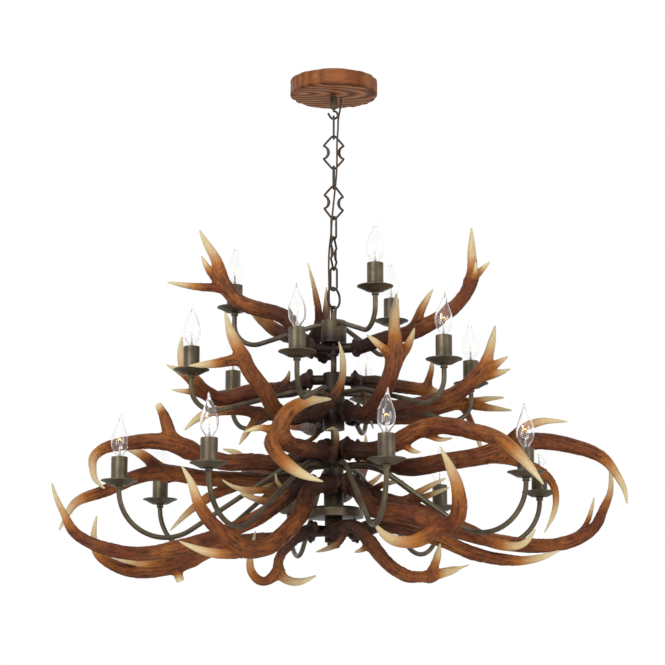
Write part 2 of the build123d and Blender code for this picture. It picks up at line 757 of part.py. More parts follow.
nut_grip = cap_nut_height * 0.6
with BuildPart() as cap_nut:
    with BuildSketch(Plane.XY.offset(stem_bottom_z - cap_nut_height)):
        Circle(cap_nut_radius)
    extrude(amount=cap_nut_height)
    fillet(cap_nut.edges().group_by(Axis.Z)[0], cap_nut_round)
    with BuildSketch(Plane.XY.offset(stem_bottom_z)):
        Circle(stem_radius + fit_clearance)
    extrude(amount=-nut_grip, mode=Mode.SUBTRACT)
finish(cap_nut, "cap_nut")

# Stem: a tube with a flat eye at the top, which hangs on the ring
stem_top_z = eye_centre_z - eye_hole_radius - eye_wall
eye_radius = eye_hole_radius + eye_wall
eye_plane = upright_plane(ring_bearing + 90, eye_centre_z)
with BuildPart() as stem:
    with BuildSketch(Plane.XY.offset(stem_bottom_z - nut_grip)):
        Circle(stem_radius)
    extrude(amount=stem_top_z - stem_bottom_z + nut_grip)
    with BuildSketch(eye_plane):
        Circle(eye_radius)
        with Locations((0, -eye_radius / 2)):
            Rectangle(2 * stem_radius, eye_radius)
    extrude(amount=eye_thickness / 2, both=True)
    with BuildSketch(eye_plane):
        Circle(eye_hole_radius)
    extrude(amount=eye_thickness, both=True, mode=Mode.SUBTRACT)
    with BuildSketch(Plane.XY.offset(stem_bottom_z - nut_grip)):
        Circle(stem_bore_radius)
    extrude(amount=hub_z - stem_bottom_z + nut_grip, mode=Mode.SUBTRACT)
finish(stem, "stem")


# Arms, pans, candles and bulbs, tier by tier
def arm_path(reach, level, slope, knee, bend, bend_z, start_r, end_z):
    """Straight out of the hub, over a knee, down a slope and up through the bend below the pan."""
    tilt = radians(slope)
    foot_r = reach - bend - bend * sin(tilt)
    foot_z = bend_z - bend * cos(tilt)
    shoulder_z = level - knee * (1 - cos(tilt))
    shoulder_r = foot_r - (shoulder_z - foot_z) / tan(tilt)
    knee_r = shoulder_r - knee * sin(tilt)
    Line((start_r, level), (knee_r, level))
    CenterArc((knee_r, level - knee), knee, 90, -slope)
    Line((shoulder_r, shoulder_z), (foot_r, foot_z))
    CenterArc((reach - bend, bend_z), bend, 270 - slope, 90 + slope)
    Line((reach, bend_z), (reach, end_z))


collar_grip = pan_collar_height - 1
for tier, (count, bearing, reach, level, slope, knee, bend, bend_z, pan_z, hub_radius) in tiers.items():
    arm_end_z = pan_z - pan_depth - pan_collar_height + collar_grip
    with BuildPart() as arm:
        with BuildLine(Plane.XZ) as arm_line:
            arm_path(reach, level, slope, knee, bend, bend_z, hub_radius - socket_depth, arm_end_z)
        with BuildSketch(Plane(origin=(hub_radius - socket_depth, 0, level), z_dir=(1, 0, 0))) as arm_end:
            Circle(arm_radius)
            Circle(arm_radius - arm_wall, mode=Mode.SUBTRACT)
        sweep(sections=arm_end.sketch, path=arm_line.wire())
    with BuildPart() as arms:
        with PolarLocations(0, count, start_angle=bearing):
            add(arm.part)
    finish(arms, f"arms_{tier}")
    with BuildPart() as pan:
        with BuildSketch(Plane.XZ):
            Polygon(
                (wire_hole_radius, -pan_depth), (pan_floor_radius, -pan_depth),
                (pan_radius - pan_lip, -pan_lip - pan_wall / 2), (pan_radius - pan_lip, -pan_lip + pan_wall / 2),
                (pan_floor_radius, pan_floor_z), (wire_hole_radius, pan_floor_z),
                align=None,
            )
            with Locations((pan_radius - pan_lip, -pan_lip)):
                Circle(pan_lip)
        revolve(axis=Axis.Z)
        with BuildSketch(Plane.XY.offset(-pan_depth)):
            Circle(pan_collar_radius)
            Circle(wire_hole_radius, mode=Mode.SUBTRACT)
        extrude(amount=-pan_collar_height)
        with BuildSketch(Plane.XY.offset(-pan_depth - pan_collar_height)):
            Circle(arm_radius + fit_clearance)
        extrude(amount=collar_grip, mode=Mode.SUBTRACT)
    with BuildPart(Plane.XY.offset(pan_z)) as pans:
        with PolarLocations(reach, count, start_angle=bearing):
            add(pan.part)
    finish(pans, f"drip_pans_{tier}")


def on_every_arm(piece, name):
    """One copy of the piece above each pan, all in one node."""
    with BuildPart() as copies:
        for count, bearing, reach, level, slope, knee, bend, bend_z, pan_z, hub_radius in tiers.values():
            for turn in range(count):
                across = radians(bearing + 360 / count * turn)
                with Locations((reach * cos(across), reach * sin(across), pan_z)):
                    add(piece.part)
    finish(copies, name)


with BuildPart() as candle_sleeve:
    with BuildSketch(Plane.XY.offset(pan_floor_z)):
        Circle(candle_radius)
        Circle(candle_radius - candle_wall, mode=Mode.SUBTRACT)
    extrude(amount=candle_height)
on_every_arm(candle_sleeve, "candle_sleeves")

holder_top_z = pan_floor_z + holder_height
cap_bottom_z = holder_top_z - cap_depth + 1
with BuildPart() as lamp_holder:
    with BuildSketch(Plane.XY.offset(pan_floor_z)):
        Circle(holder_radius)
    extrude(amount=holder_height)
    with BuildSketch(Plane.XY.offset(cap_bottom_z)):
        Circle(cap_socket_radius)
    extrude(amount=holder_top_z - cap_bottom_z, mode=Mode.SUBTRACT)
on_every_arm(lamp_holder, "lamp_holders")

cap_top_z = cap_bottom_z + cap_depth
with BuildPart() as bulb_cap:
    with BuildSketch(Plane.XY.offset(cap_bottom_z)):
        Circle(cap_radius)
    extrude(amount=cap_depth)
    chamfer(bulb_cap.edges().group_by(Axis.Z)[0], 2)
on_every_arm(bulb_cap, "bulb_caps")

# Candle bulb: a thin glass flame, open where it stands on its cap
belly_z = cap_top_z + 0.36 * bulb_height
shoulder_z = cap_top_z + 0.68 * bulb_height
bulb_top_z = cap_top_z + bulb_height
inner_top_z = cap_top_z + 0.9 * bulb_height
shoulder_radius = 0.56 * bulb_radius
with BuildPart() as bulb_glass:
    with BuildSketch(Plane.XZ):
        with BuildLine():
            outside = Spline(
                (bulb_neck_radius, cap_top_z), (bulb_radius, belly_z), (shoulder_radius, shoulder_z),
                (bulb_tip_radius, bulb_top_z), tangents=[(0.5, 1), (-0.1, 1)],
            )
            Line(outside @ 1, (0, bulb_top_z))
            Line((0, bulb_top_z), (0, inner_top_z))
            inside = Spline(
                (0, inner_top_z), (shoulder_radius - bulb_wall, shoulder_z), (bulb_radius - bulb_wall, belly_z),
                (bulb_neck_radius - bulb_wall, cap_top_z), tangents=[(0.4, -1), (-0.5, -1)],
            )
            Line(inside @ 1, outside @ 0)
        make_face()
    revolve(axis=Axis.Z)
on_every_arm(bulb_glass, "bulb_glasses")
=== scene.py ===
"""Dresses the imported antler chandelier: antlers, metalwork, bulbs, wood rose, chain and supply cord.

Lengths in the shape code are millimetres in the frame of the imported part: the origin is the middle of
the ceiling face, +Z is up and +Y runs away from the viewer. Meshes are written in metres.
"""
import json
from math import acos, atan2, cos, pi, radians, sin, tan
from typing import NamedTuple

import bmesh
import bpy
import numpy as np
from bpy.props import FloatProperty, FloatVectorProperty, IntProperty, PointerProperty
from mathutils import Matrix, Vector


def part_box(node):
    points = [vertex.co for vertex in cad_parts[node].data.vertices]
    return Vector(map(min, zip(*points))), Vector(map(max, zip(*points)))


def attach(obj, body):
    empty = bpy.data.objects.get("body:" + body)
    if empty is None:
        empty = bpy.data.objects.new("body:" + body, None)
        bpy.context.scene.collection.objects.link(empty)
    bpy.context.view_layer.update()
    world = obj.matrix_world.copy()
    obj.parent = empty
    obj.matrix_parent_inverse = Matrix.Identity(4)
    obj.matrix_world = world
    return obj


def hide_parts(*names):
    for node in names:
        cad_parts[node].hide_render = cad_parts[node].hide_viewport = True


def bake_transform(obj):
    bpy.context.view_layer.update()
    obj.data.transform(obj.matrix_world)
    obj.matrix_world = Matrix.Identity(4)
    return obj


bl_info = {
    "name": "Antler chandelier",
    "version": (1, 0, 0),
    "blender": (4, 5, 0),
    "location": "View3D > Sidebar > Chandelier",
    "description": "Builds the looks of an antler chandelier around its packed frame",
    "category": "Object",
}

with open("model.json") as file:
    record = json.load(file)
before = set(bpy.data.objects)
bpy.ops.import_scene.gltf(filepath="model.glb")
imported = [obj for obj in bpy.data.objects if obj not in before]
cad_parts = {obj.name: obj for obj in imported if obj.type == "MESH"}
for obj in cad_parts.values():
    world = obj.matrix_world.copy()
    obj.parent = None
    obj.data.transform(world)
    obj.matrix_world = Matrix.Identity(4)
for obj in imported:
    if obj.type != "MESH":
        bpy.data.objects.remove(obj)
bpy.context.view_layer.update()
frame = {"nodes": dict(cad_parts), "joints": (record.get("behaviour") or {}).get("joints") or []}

METRE = 0.001
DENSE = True


def srgb(red, green, blue):
    """Scene-linear colour of three sRGB values from 0 to 255."""
    share = np.array([red, green, blue]) / 255
    linear = np.where(share < 0.04045, share / 12.92, ((share + 0.055) / 1.055) ** 2.4)
    return tuple(float(x) for x in linear)


# ---------------- settings
def colour_setting(name, description, colour):
    return FloatVectorProperty(
        name=name, description=description, subtype="COLOR", default=colour, min=0, max=1,
    )


def length_setting(name, description, default, least, most):
    return FloatProperty(
        name=name, description=description, unit="LENGTH", default=default, min=least, max=most,
    )


def power_setting(name, description, default):
    return FloatProperty(name=name, description=description, unit="POWER", default=default, min=0, max=1000)


class AntlerSettings(bpy.types.PropertyGroup):
    beam: colour_setting("Beam", "Reddish brown of the beams", srgb(118, 56, 24))
    # The colour of the grain's dark staining, and also of the painted shade in the grooves, near the burrs
    # and on the hubs
    stain_and_shade: colour_setting("Stain", "Dark stain near the burrs and in the grooves", srgb(30, 14, 8))
    tan: colour_setting("Tan", "Orange tan between a beam and its tips", srgb(192, 118, 48))
    tip: colour_setting("Tip", "Cream of the worn tips", srgb(246, 232, 182))
    groove: length_setting("Groove depth", "Depth of the lengthwise grooves", 0.0017, 0, 0.005)
    pearl: length_setting("Pearling", "Height of the small bumps near the burr", 0.0009, 0, 0.005)
    sway: length_setting("Unevenness", "Slow swelling of the beams", 0.0012, 0, 0.005)
    pale_length: length_setting("Pale length", "Length of the pale end of a beam", 0.125, 0.01, 0.4)


class MetalSettings(bpy.types.PropertyGroup):
    bronze: colour_setting("Bronze", "Olive brown of the painted metal", srgb(100, 88, 66))
    bronze_dark: colour_setting("Dark bronze", "Darker patches of the painted metal", srgb(58, 48, 35))
    chain: colour_setting("Chain", "Dark brown of the cast chain", srgb(70, 58, 46))
    roughness: FloatProperty(
        name="Roughness", description="Roughness of the painted metal", subtype="FACTOR",
        default=0.42, min=0, max=1,
    )


class RoseSettings(bpy.types.PropertyGroup):
    wood: colour_setting("Wood", "Middle brown of the rose", srgb(148, 82, 34))
    light_wood: colour_setting("Light wood", "Pale streaks of the rose", srgb(222, 150, 92))
    dark_wood: colour_setting("Dark wood", "Dark grain lines of the rose", srgb(62, 34, 24))
    edge_wear: length_setting("Edge wear", "Depth of the hewn hollows round the rim", 0.0026, 0, 0.01)


class BulbSettings(bpy.types.PropertyGroup):
    lean: length_setting("Tip lean", "Sideways reach of the bent glass tip", 0.003, 0, 0.01)
    glow: colour_setting("Filament glow", "Warm colour of the filament", srgb(255, 205, 130))
    glow_strength: FloatProperty(
        name="Glow strength", description="Strength of the filament's glow", default=2.5, min=0, max=20,
    )


class CordSettings(bpy.types.PropertyGroup):
    cover: colour_setting("Cover", "Brown of the cord's woven cover", srgb(62, 44, 30))
    thread: colour_setting("Thread", "Lighter threads of the cord's cover", srgb(96, 72, 48))
    lay: length_setting("Lay", "Length of one turn of the twist", 0.016, 0.004, 0.1)


class StageSettings(bpy.types.PropertyGroup):
    floor: colour_setting("Floor", "Pale floor far below", (0.86, 0.86, 0.85))
    key_power: power_setting("Key light", "Power of the large soft lamp at the front", 62)
    fill_power: power_setting("Fill light", "Power of the lamp on the right", 30)
    low_power: power_setting("Low light", "Power of the lamp below, as from a pale floor", 16)
    sky: FloatProperty(
        name="Sky", description="Strength of the even light from all round", default=0.42, min=0, max=2,
    )
    sides: IntProperty(
        name="Sides", description="Facets round each turned piece", default=40, min=12, max=96,
    )


# ---------------- numpy shapes
def grid_faces(rows, columns, close_rows=False, close_columns=True):
    """Quads of a grid of points numbered row by row, with either direction closed into a ring."""
    row = np.arange(rows if close_rows else rows - 1)[:, None]
    column = np.arange(columns if close_columns else columns - 1)[None, :]
    below = (row + 1) % rows
    right = (column + 1) % columns
    corners = [(row, column), (row, right), (below, right), (below, column)]
    quads = np.broadcast_arrays(*[across * columns + along for across, along in corners])
    return np.stack(quads, -1).reshape(-1, 4)


def lathe(profile, sides, closed=False):
    """Point (r, z) of the profile turned by angle a is (r cos a, r sin a, z)."""
    profile = np.asarray(profile, float)
    angle = np.arange(sides) * 2 * pi / sides
    radius = profile[:, :1]
    height = np.repeat(profile[:, 1:], sides, axis=1)
    points = np.stack([radius * np.cos(angle), radius * np.sin(angle), height], -1)
    return points.reshape(-1, 3), grid_faces(len(profile), sides, close_rows=closed)


def lengths_along(points):
    """Length of the line from its first point up to each point."""
    return np.concatenate([[0], np.cumsum(np.linalg.norm(np.diff(points, axis=0), axis=1))])


def directions(path, closed=False):
    """Unit tangents of a path from the points on each side of each point."""
    if closed:
        step = np.roll(path, -1, axis=0) - np.roll(path, 1, axis=0)
    else:
        step = np.gradient(path, axis=0)
    return step / np.linalg.norm(step, axis=1, keepdims=True)


def carried_frames(path):
    """Tangent and two side vectors along a path, carried forward without twist."""
    ahead = directions(path)
    side = np.cross(ahead[0], [0.31, 0.87, 0.38])
    sides = []
    for tangent in ahead:
        side = side - tangent * side.dot(tangent)
        side = side / np.linalg.norm(side)
        sides.append(side)
    sides = np.array(sides)
    return ahead, sides, np.cross(ahead, sides)


def tube(path, radius, sides, side=None, closed=False, section=None):
    """Circle (or a section of radii) carried along the path: p + r (cos a s + sin a (t x s)).

    side is the constant vector s of a flat path; without it, s is carried along without twist.
    An open tube gets a last row of no radius at each end, which closes it.
    """
    path = np.asarray(path, float)
    radius = np.broadcast_to(np.asarray(radius, float), len(path))
    if side is None:
        ahead, across, up = carried_frames(path)
    else:
        ahead = directions(path, closed)
        across = np.broadcast_to(np.asarray(side, float), path.shape)
        up = np.cross(ahead, across)
    angle = np.arange(sides) * 2 * pi / sides
    ring = np.cos(angle)[None, :, None] * across[:, None] + np.sin(angle)[None, :, None] * up[:, None]
    reach = radius[:, None] * (1 if section is None else section)
    points = path[:, None] + ring * np.broadcast_to(reach, ring.shape[:2])[..., None]
    if not closed:
        ends = [np.repeat(path[i][None, None], sides, axis=1) for i in (0, -1)]
        points = np.concatenate([ends[0], points, ends[1]])
    return points.reshape(-1, 3), grid_faces(len(points), sides, close_rows=closed)


def smooth_line(points, spacing):
    """Natural cubic spline through the points, over chord length, read at even steps of the spacing."""
    points = np.asarray(points, float)
    knots = lengths_along(points)
    gaps = np.diff(knots)
    count = len(points)
    system = np.eye(count)
    target = np.zeros_like(points)
    for row in range(1, count - 1):
        system[row, row - 1:row + 2] = gaps[row - 1], 2 * (gaps[row - 1] + gaps[row]), gaps[row]
        slope_after = (points[row + 1] - points[row]) / gaps[row]
        target[row] = 6 * (slope_after - (points[row] - points[row - 1]) / gaps[row - 1])
    curvature = np.linalg.solve(system, target)
    steps = np.linspace(0, knots[-1], max(5, int(knots[-1] / spacing)))
    cell = np.clip(np.searchsorted(knots, steps, side="right") - 1, 0, count - 2)
    gap = gaps[cell][:, None]
    before = (knots[cell + 1] - steps)[:, None] / gap
    after = 1 - before
    straight = before * points[cell] + after * points[cell + 1]
    bent = (before**3 - before) * curvature[cell] + (after**3 - after) * curvature[cell + 1]
    return straight + bent * gap**2 / 6


def turned(points, bearing, offset=(0, 0, 0)):
    """Points turned about Z by the bearing in degrees, then moved by the offset."""
    angle = radians(bearing)
    turn = np.array([[cos(angle), sin(angle), 0], [-sin(angle), cos(angle), 0], [0, 0, 1]])
    return np.asarray(points, float) @ turn + np.asarray(offset, float)


def lattice_noise(points, seed):
    """Smooth value noise from 0 to 1: hashed lattice values, blended by 3t^2 - 2t^3 along each axis."""
    cell = np.floor(points).astype(np.int64)
    part = points - cell
    part = part * part * (3 - 2 * part)
    total = np.zeros(len(points))
    for corner in np.ndindex(2, 2, 2):
        place = cell + corner
        mixed = place[:, 0] * 73856093 ^ place[:, 1] * 19349663 ^ place[:, 2] * 83492791 ^ seed * 2654435761
        mixed = (mixed ^ (mixed >> 13)) * 1274126177 & 0xFFFFFFFF
        value = ((mixed ^ (mixed >> 16)) & 0xFFFF) / 65535
        weight = np.prod(np.where(corner, part, 1 - part), axis=1)
        total += value * weight
    return total


def fade(value, low, high):
    """0 below low, 1 above high, smooth between them."""
    share = np.clip((value - low) / (high - low), 0, 1)
    return share * share * (3 - 2 * share)


# ---------------- pieces
def gather(parts):
    """Several (points, faces) pairs as one pair."""
    points, faces, start = [], [], 0
    for more_points, more_faces in parts:
        points.append(more_points)
        faces.append(np.asarray(more_faces) + start)
        start += len(more_points)
    return np.concatenate(points), np.concatenate(faces)


def new_mesh(name, points, faces):
    """Mesh in metres from points in millimetres."""
    mesh = bpy.data.meshes.new(name)
    mesh.from_pydata((points * METRE).tolist(), [], faces.tolist())
    return mesh


def new_object(name, data):
    """Object of the data at the world's origin, linked into the scene."""
    item = bpy.data.objects.new(name, data)
    bpy.context.scene.collection.objects.link(item)
    return item


def point_places(mesh):
    """The mesh's points as an array, in metres."""
    points = np.empty(len(mesh.vertices) * 3, np.float32)
    mesh.vertices.foreach_get("co", points)
    return points.reshape(-1, 3)


def set_values(mesh, name, kind, field, values):
    """Named values of the mesh's points, which its material reads."""
    attribute = mesh.attributes.new(name, kind, "POINT")
    attribute.data.foreach_set(field, np.ascontiguousarray(values, np.float32).ravel())


def make_piece(name, shape, finish, nodes=(), body="chandelier", crease=32):
    """A closed mesh from millimetre points, its doubles merged and its faces turned outwards."""
    mesh = new_mesh(name, *shape)
    shell = bmesh.new()
    shell.from_mesh(mesh)
    bmesh.ops.remove_doubles(shell, verts=shell.verts, dist=1e-6)
    bmesh.ops.recalc_face_normals(shell, faces=shell.faces)
    shell.to_mesh(mesh)
    shell.free()
    mesh.shade_smooth()
    mesh.set_sharp_from_angle(angle=radians(crease))
    mesh.materials.append(finish_for(finish))
    piece = new_object(name, mesh)
    declare(piece, body, nodes)
    return piece


def declare(piece, body, nodes=()):
    """Says which body the piece rides on and which CAD nodes it replaces."""
    if body:
        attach(piece, body)
    if nodes:
        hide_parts(*nodes)


def dress(node, finish):
    """Gives a CAD node that keeps its own mesh a finish."""
    mesh = frame["nodes"][node].data
    mesh.materials.clear()
    mesh.materials.append(finish_for(finish))


def node_top(node):
    """Height of the CAD node's highest point, in millimetres."""
    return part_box(node)[1].z / METRE


def node_bottom(node):
    """Height of the CAD node's lowest point, in millimetres."""
    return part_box(node)[0].z / METRE


# ---------------- materials
def between(first, second, share):
    """Colour that lies the share of the way from the first to the second."""
    return tuple((1 - share) * a + share * b for a, b in zip(first, second))


def scaled_colour(colour, share):
    """The colour made darker or lighter by the share, 1 at most."""
    return tuple(min(1.0, share * x) for x in colour)


def connect(tree, socket, value):
    """Links another node's output to the socket, or gives the socket a value of its own."""
    if isinstance(value, bpy.types.NodeSocket):
        tree.links.new(value, socket)
    else:
        socket.default_value = value


def place(tree, kind, inputs=None, **settings):
    """Adds a node; an input is a value for its socket or another node's output to link to it."""
    node = tree.nodes.new(kind)
    for key, value in settings.items():
        setattr(node, key, value)
    for key, value in (inputs or {}).items():
        connect(tree, node.inputs[key], value)
    return node


def compute(tree, operation, *values):
    """Result of the math operation on one to three values."""
    return place(tree, "ShaderNodeMath", dict(enumerate(values)), operation=operation).outputs["Value"]


def moved(tree, vector, offset):
    """The vector plus the offset."""
    return place(tree, "ShaderNodeVectorMath", {0: vector, 1: offset}, operation="ADD").outputs["Vector"]


def enlarged(tree, vector, scale):
    """The vector times one number."""
    node = place(tree, "ShaderNodeVectorMath", {0: vector, "Scale": scale}, operation="SCALE")
    return node.outputs["Vector"]


def stretched(tree, vector, scale):
    """The vector times a number along each axis."""
    return place(tree, "ShaderNodeMapping", {"Vector": vector, "Scale": scale}).outputs["Vector"]


def object_place(tree):
    """The object's own coordinates, in metres."""
    return place(tree, "ShaderNodeTexCoord").outputs["Object"]


def object_height(tree):
    """Z of the object's own coordinates, in metres."""
    return place(tree, "ShaderNodeSeparateXYZ", {"Vector": object_place(tree)}).outputs["Z"]


def own_value(tree, name, output="Fac"):
    """Values of that name that the piece's mesh carries."""
    return place(tree, "ShaderNodeAttribute", attribute_name=name).outputs[output]


def mixed(tree, share, first, second):
    """Colour between first and second by share."""
    node = place(tree, "ShaderNodeMix", data_type="RGBA")
    connect(tree, node.inputs[0], share)
    for socket, value in ((node.inputs[6], first), (node.inputs[7], second)):
        connect(tree, socket, value if isinstance(value, bpy.types.NodeSocket) else (*value, 1))
    return node.outputs[2]


def ramp(tree, value, stops):
    """Colour ramp with the given (place, colour) stops."""
    node = place(tree, "ShaderNodeValToRGB", {"Fac": value})
    band = node.color_ramp
    while len(band.elements) < len(stops):
        band.elements.new(0.5)
    for element, (position, colour) in zip(band.elements, stops):
        element.position = position
        element.color = (*colour, 1)
    return node.outputs["Color"]


def spread(tree, value, low, high, to_low=0.0, to_high=1.0):
    """The value's range from low to high, mapped to another range and clamped."""
    ends = {"From Min": low, "From Max": high, "To Min": to_low, "To Max": to_high}
    return place(tree, "ShaderNodeMapRange", {"Value": value, **ends}).outputs["Result"]


def overlaid(tree, base, colour, value, low=0, high=1, to_low=0.0, to_high=1.0):
    """The base with the colour laid over it, by the value's range mapped as in spread."""
    return mixed(tree, spread(tree, value, low, high, to_low, to_high), base, colour)


def speckle(tree, vector, scale, detail, roughness, distortion=0.0):
    """Noise from 0 to 1 at the vector."""
    looks = {"Scale": scale, "Detail": detail, "Roughness": roughness, "Distortion": distortion}
    return place(tree, "ShaderNodeTexNoise", {"Vector": vector, **looks}).outputs["Fac"]


def effect_group(name, inputs, outputs):
    """An empty node group with a vector and a number as inputs, and numbers as outputs."""
    tree = bpy.data.node_groups.new(name, "ShaderNodeTree")
    for label, default in inputs.items():
        kind = "NodeSocketVector" if default is None else "NodeSocketFloat"
        socket = tree.interface.new_socket(label, in_out="INPUT", socket_type=kind)
        if default is not None:
            socket.default_value = default
    for label in outputs:
        tree.interface.new_socket(label, in_out="OUTPUT", socket_type="NodeSocketFloat")
    given = tree.nodes.new("NodeGroupInput").outputs
    return tree, [given[label] for label in inputs], tree.nodes.new("NodeGroupOutput")


def deliver(tree, result, values):
    """Links the values to the group's outputs in turn."""
    for value, socket in zip(values, result.inputs):
        tree.links.new(value, socket)
    return tree


def streaks_group():
    """Fine long streaks and pores along X of the vector, with a height for bump."""
    tree, (vector, fineness), result = effect_group(
        "Streaks and pores", {"Vector": None, "Fineness": 1.0}, ["Streaks", "Pores", "Height"],
    )
    fine = enlarged(tree, vector, fineness)
    along_streaks = stretched(tree, fine, (0.05, 1.0, 1.0))
    along_pores = stretched(tree, fine, (0.35, 1.0, 1.0))
    long_noise = speckle(tree, along_streaks, scale=0.5, detail=5, roughness=0.65, distortion=0.4)
    pore_noise = speckle(tree, along_pores, scale=1.1, detail=3, roughness=0.7)
    streaks = spread(tree, long_noise, 0.34, 0.66)
    pores = spread(tree, pore_noise, 0.56, 0.72)
    return deliver(tree, result, [streaks, pores, compute(tree, "SUBTRACT", streaks, pores)])


def patina_group():
    """Patches, small flecks and a fine grain height for cast and painted metal."""
    tree, (vector, patch_size), result = effect_group(
        "Metal patina", {"Vector": None, "Patch size": 30.0}, ["Patches", "Flecks", "Height"],
    )
    patches = spread(tree, speckle(tree, vector, patch_size, detail=6, roughness=0.62), 0.32, 0.68)
    flecks = spread(tree, speckle(tree, vector, scale=620, detail=3, roughness=0.7), 0.6, 0.78)
    height = speckle(tree, vector, scale=900, detail=4, roughness=0.6)
    return deliver(tree, result, [patches, flecks, height])


def streaks(tree, groups, vector):
    """The streaks, pores and height of the group of that name."""
    inputs = {"Vector": vector, "Fineness": 0.6}
    return tuple(place(tree, "ShaderNodeGroup", inputs, node_tree=groups["streaks"]).outputs)


def patina(tree, groups, patch_size):
    """The patches, flecks and height of the group of that name, at the object's own coordinates."""
    inputs = {"Vector": object_place(tree), "Patch size": patch_size}
    return tuple(place(tree, "ShaderNodeGroup", inputs, node_tree=groups["patina"]).outputs)


def new_finish(name, **constants):
    """A node material; the constants are set on the Principled shader's own sockets."""
    material = bpy.data.materials.new(name)
    material.use_nodes = True
    shader = material.node_tree.nodes["Principled BSDF"]
    for key, value in constants.items():
        socket = shader.inputs[key.replace("_", " ")]
        socket.default_value = (*value, 1) if isinstance(value, tuple) else value
    return material, material.node_tree, shader


def feed(tree, shader, **outputs):
    """Links each output to the shader's socket of that name."""
    for key, output in outputs.items():
        tree.links.new(output, shader.inputs[key.replace("_", " ")])


def bump(tree, shader, height, distance, strength):
    """Gives the shader a surface that rises with the height, by the distance in metres."""
    node = place(tree, "ShaderNodeBump", {"Height": height, "Distance": distance, "Strength": strength})
    feed(tree, shader, Normal=node.outputs["Normal"])


def antler_finish(look, groups):
    """Brown beam, tan to cream by the piece's own 'pale' values; painted shade in grooves, dark staining
    and painted shade near the burr.
    """
    material, tree, shader = new_finish("antler", IOR=1.33)
    pale = own_value(tree, "pale")
    relief = own_value(tree, "relief")
    streak, pore, height = streaks(tree, groups, own_value(tree, "grain", "Vector"))
    drift = speckle(tree, object_place(tree), scale=14, detail=3, roughness=0.5)
    edge = compute(tree, "MULTIPLY_ADD", compute(tree, "SUBTRACT", drift, 0.5), 0.5, pale)
    browned = spread(tree, edge, 0.08, 0.6, 1.0, 0.08)
    light_brown = between(look.beam, look.tan, share=0.38)
    base = mixed(tree, spread(tree, drift, 0.35, 0.7), look.beam, light_brown)
    base = overlaid(tree, base, look.tan, edge, 0.0, 0.34)
    base = overlaid(tree, base, between(look.tan, look.tip, share=0.45), edge, 0.3, 0.56)
    base = overlaid(tree, base, look.tip, edge, 0.54, 0.95)
    # Tan on the ridges: partly their own orange colour, partly a painted highlight
    ridge_tan_and_highlight = compute(tree, "MULTIPLY", spread(tree, relief, 0.6, 0.85), spread(tree, drift, 0.35, 0.65))
    base = overlaid(tree, base, look.tan, compute(tree, "MULTIPLY", ridge_tan_and_highlight, browned), to_high=0.45)
    dark_streak = compute(tree, "MULTIPLY", streak, browned)
    base = overlaid(tree, base, between(look.beam, look.stain_and_shade, share=0.7), dark_streak, to_high=0.54)
    base = overlaid(tree, base, look.stain_and_shade, compute(tree, "MULTIPLY", pore, browned), to_high=0.75)
    # Painted shade in the grooves, where the relief is low, outside the pale ends
    groove_shade = spread(tree, relief, 0.15, 0.62, 0.9, 0.0)
    base = mixed(tree, compute(tree, "MULTIPLY", groove_shade, browned), base, look.stain_and_shade)
    # Dark staining and painted shade near the burr, where the antlers crowd round the hub
    base = overlaid(tree, base, look.stain_and_shade, own_value(tree, "burr_stain_and_shade"), to_high=0.92)
    feed(tree, shader, Base_Color=base, Roughness=spread(tree, pale, 0.0, 1.0, 0.44, 0.32))
    bump(tree, shader, height, distance=0.0012, strength=0.8)
    return material


def metal_finish(name, groups, light, dark, roughness, metallic=0.5, patch=26.0):
    """Painted or cast metal with soft patches and small flecks, read at the object's own coordinates."""
    material, tree, shader = new_finish(name, Metallic=metallic)
    patches, flecks, height = patina(tree, groups, patch)
    colour = overlaid(
        tree, mixed(tree, patches, dark, light), scaled_colour(light, 1.5), flecks, to_high=0.5,
    )
    rough = spread(tree, patches, 0, 1, roughness + 0.08, roughness - 0.06)
    feed(tree, shader, Base_Color=colour, Roughness=rough)
    bump(tree, shader, height, distance=0.00025, strength=0.5)
    return material


def hub_finish(metal, stain_and_shade, groups):
    """Bronze of the hubs, with painted shade round the heights where the antlers are screwed on."""
    clear_of_antlers = 0.036
    close_to_antlers = 0.02
    material, tree, shader = new_finish("hub_bronze", Metallic=0.55, Roughness=0.5)
    patches, _, grain = patina(tree, groups, patch_size=40.0)
    height = object_height(tree)
    nearest = None
    for level in sorted({shape.level for shape in antlers}):
        away = compute(tree, "ABSOLUTE", compute(tree, "SUBTRACT", height, level * METRE))
        nearest = compute(tree, "MINIMUM", away, nearest) if nearest else away
    colour = mixed(tree, patches, metal.bronze_dark, metal.bronze)
    # Painted shade: the antlers' dark colour laid over the bronze near each antler level
    colour = overlaid(tree, colour, stain_and_shade, nearest, close_to_antlers, clear_of_antlers, 0.93, 0.0)
    feed(tree, shader, Base_Color=colour)
    bump(tree, shader, grain, distance=0.00025, strength=0.5)
    return material


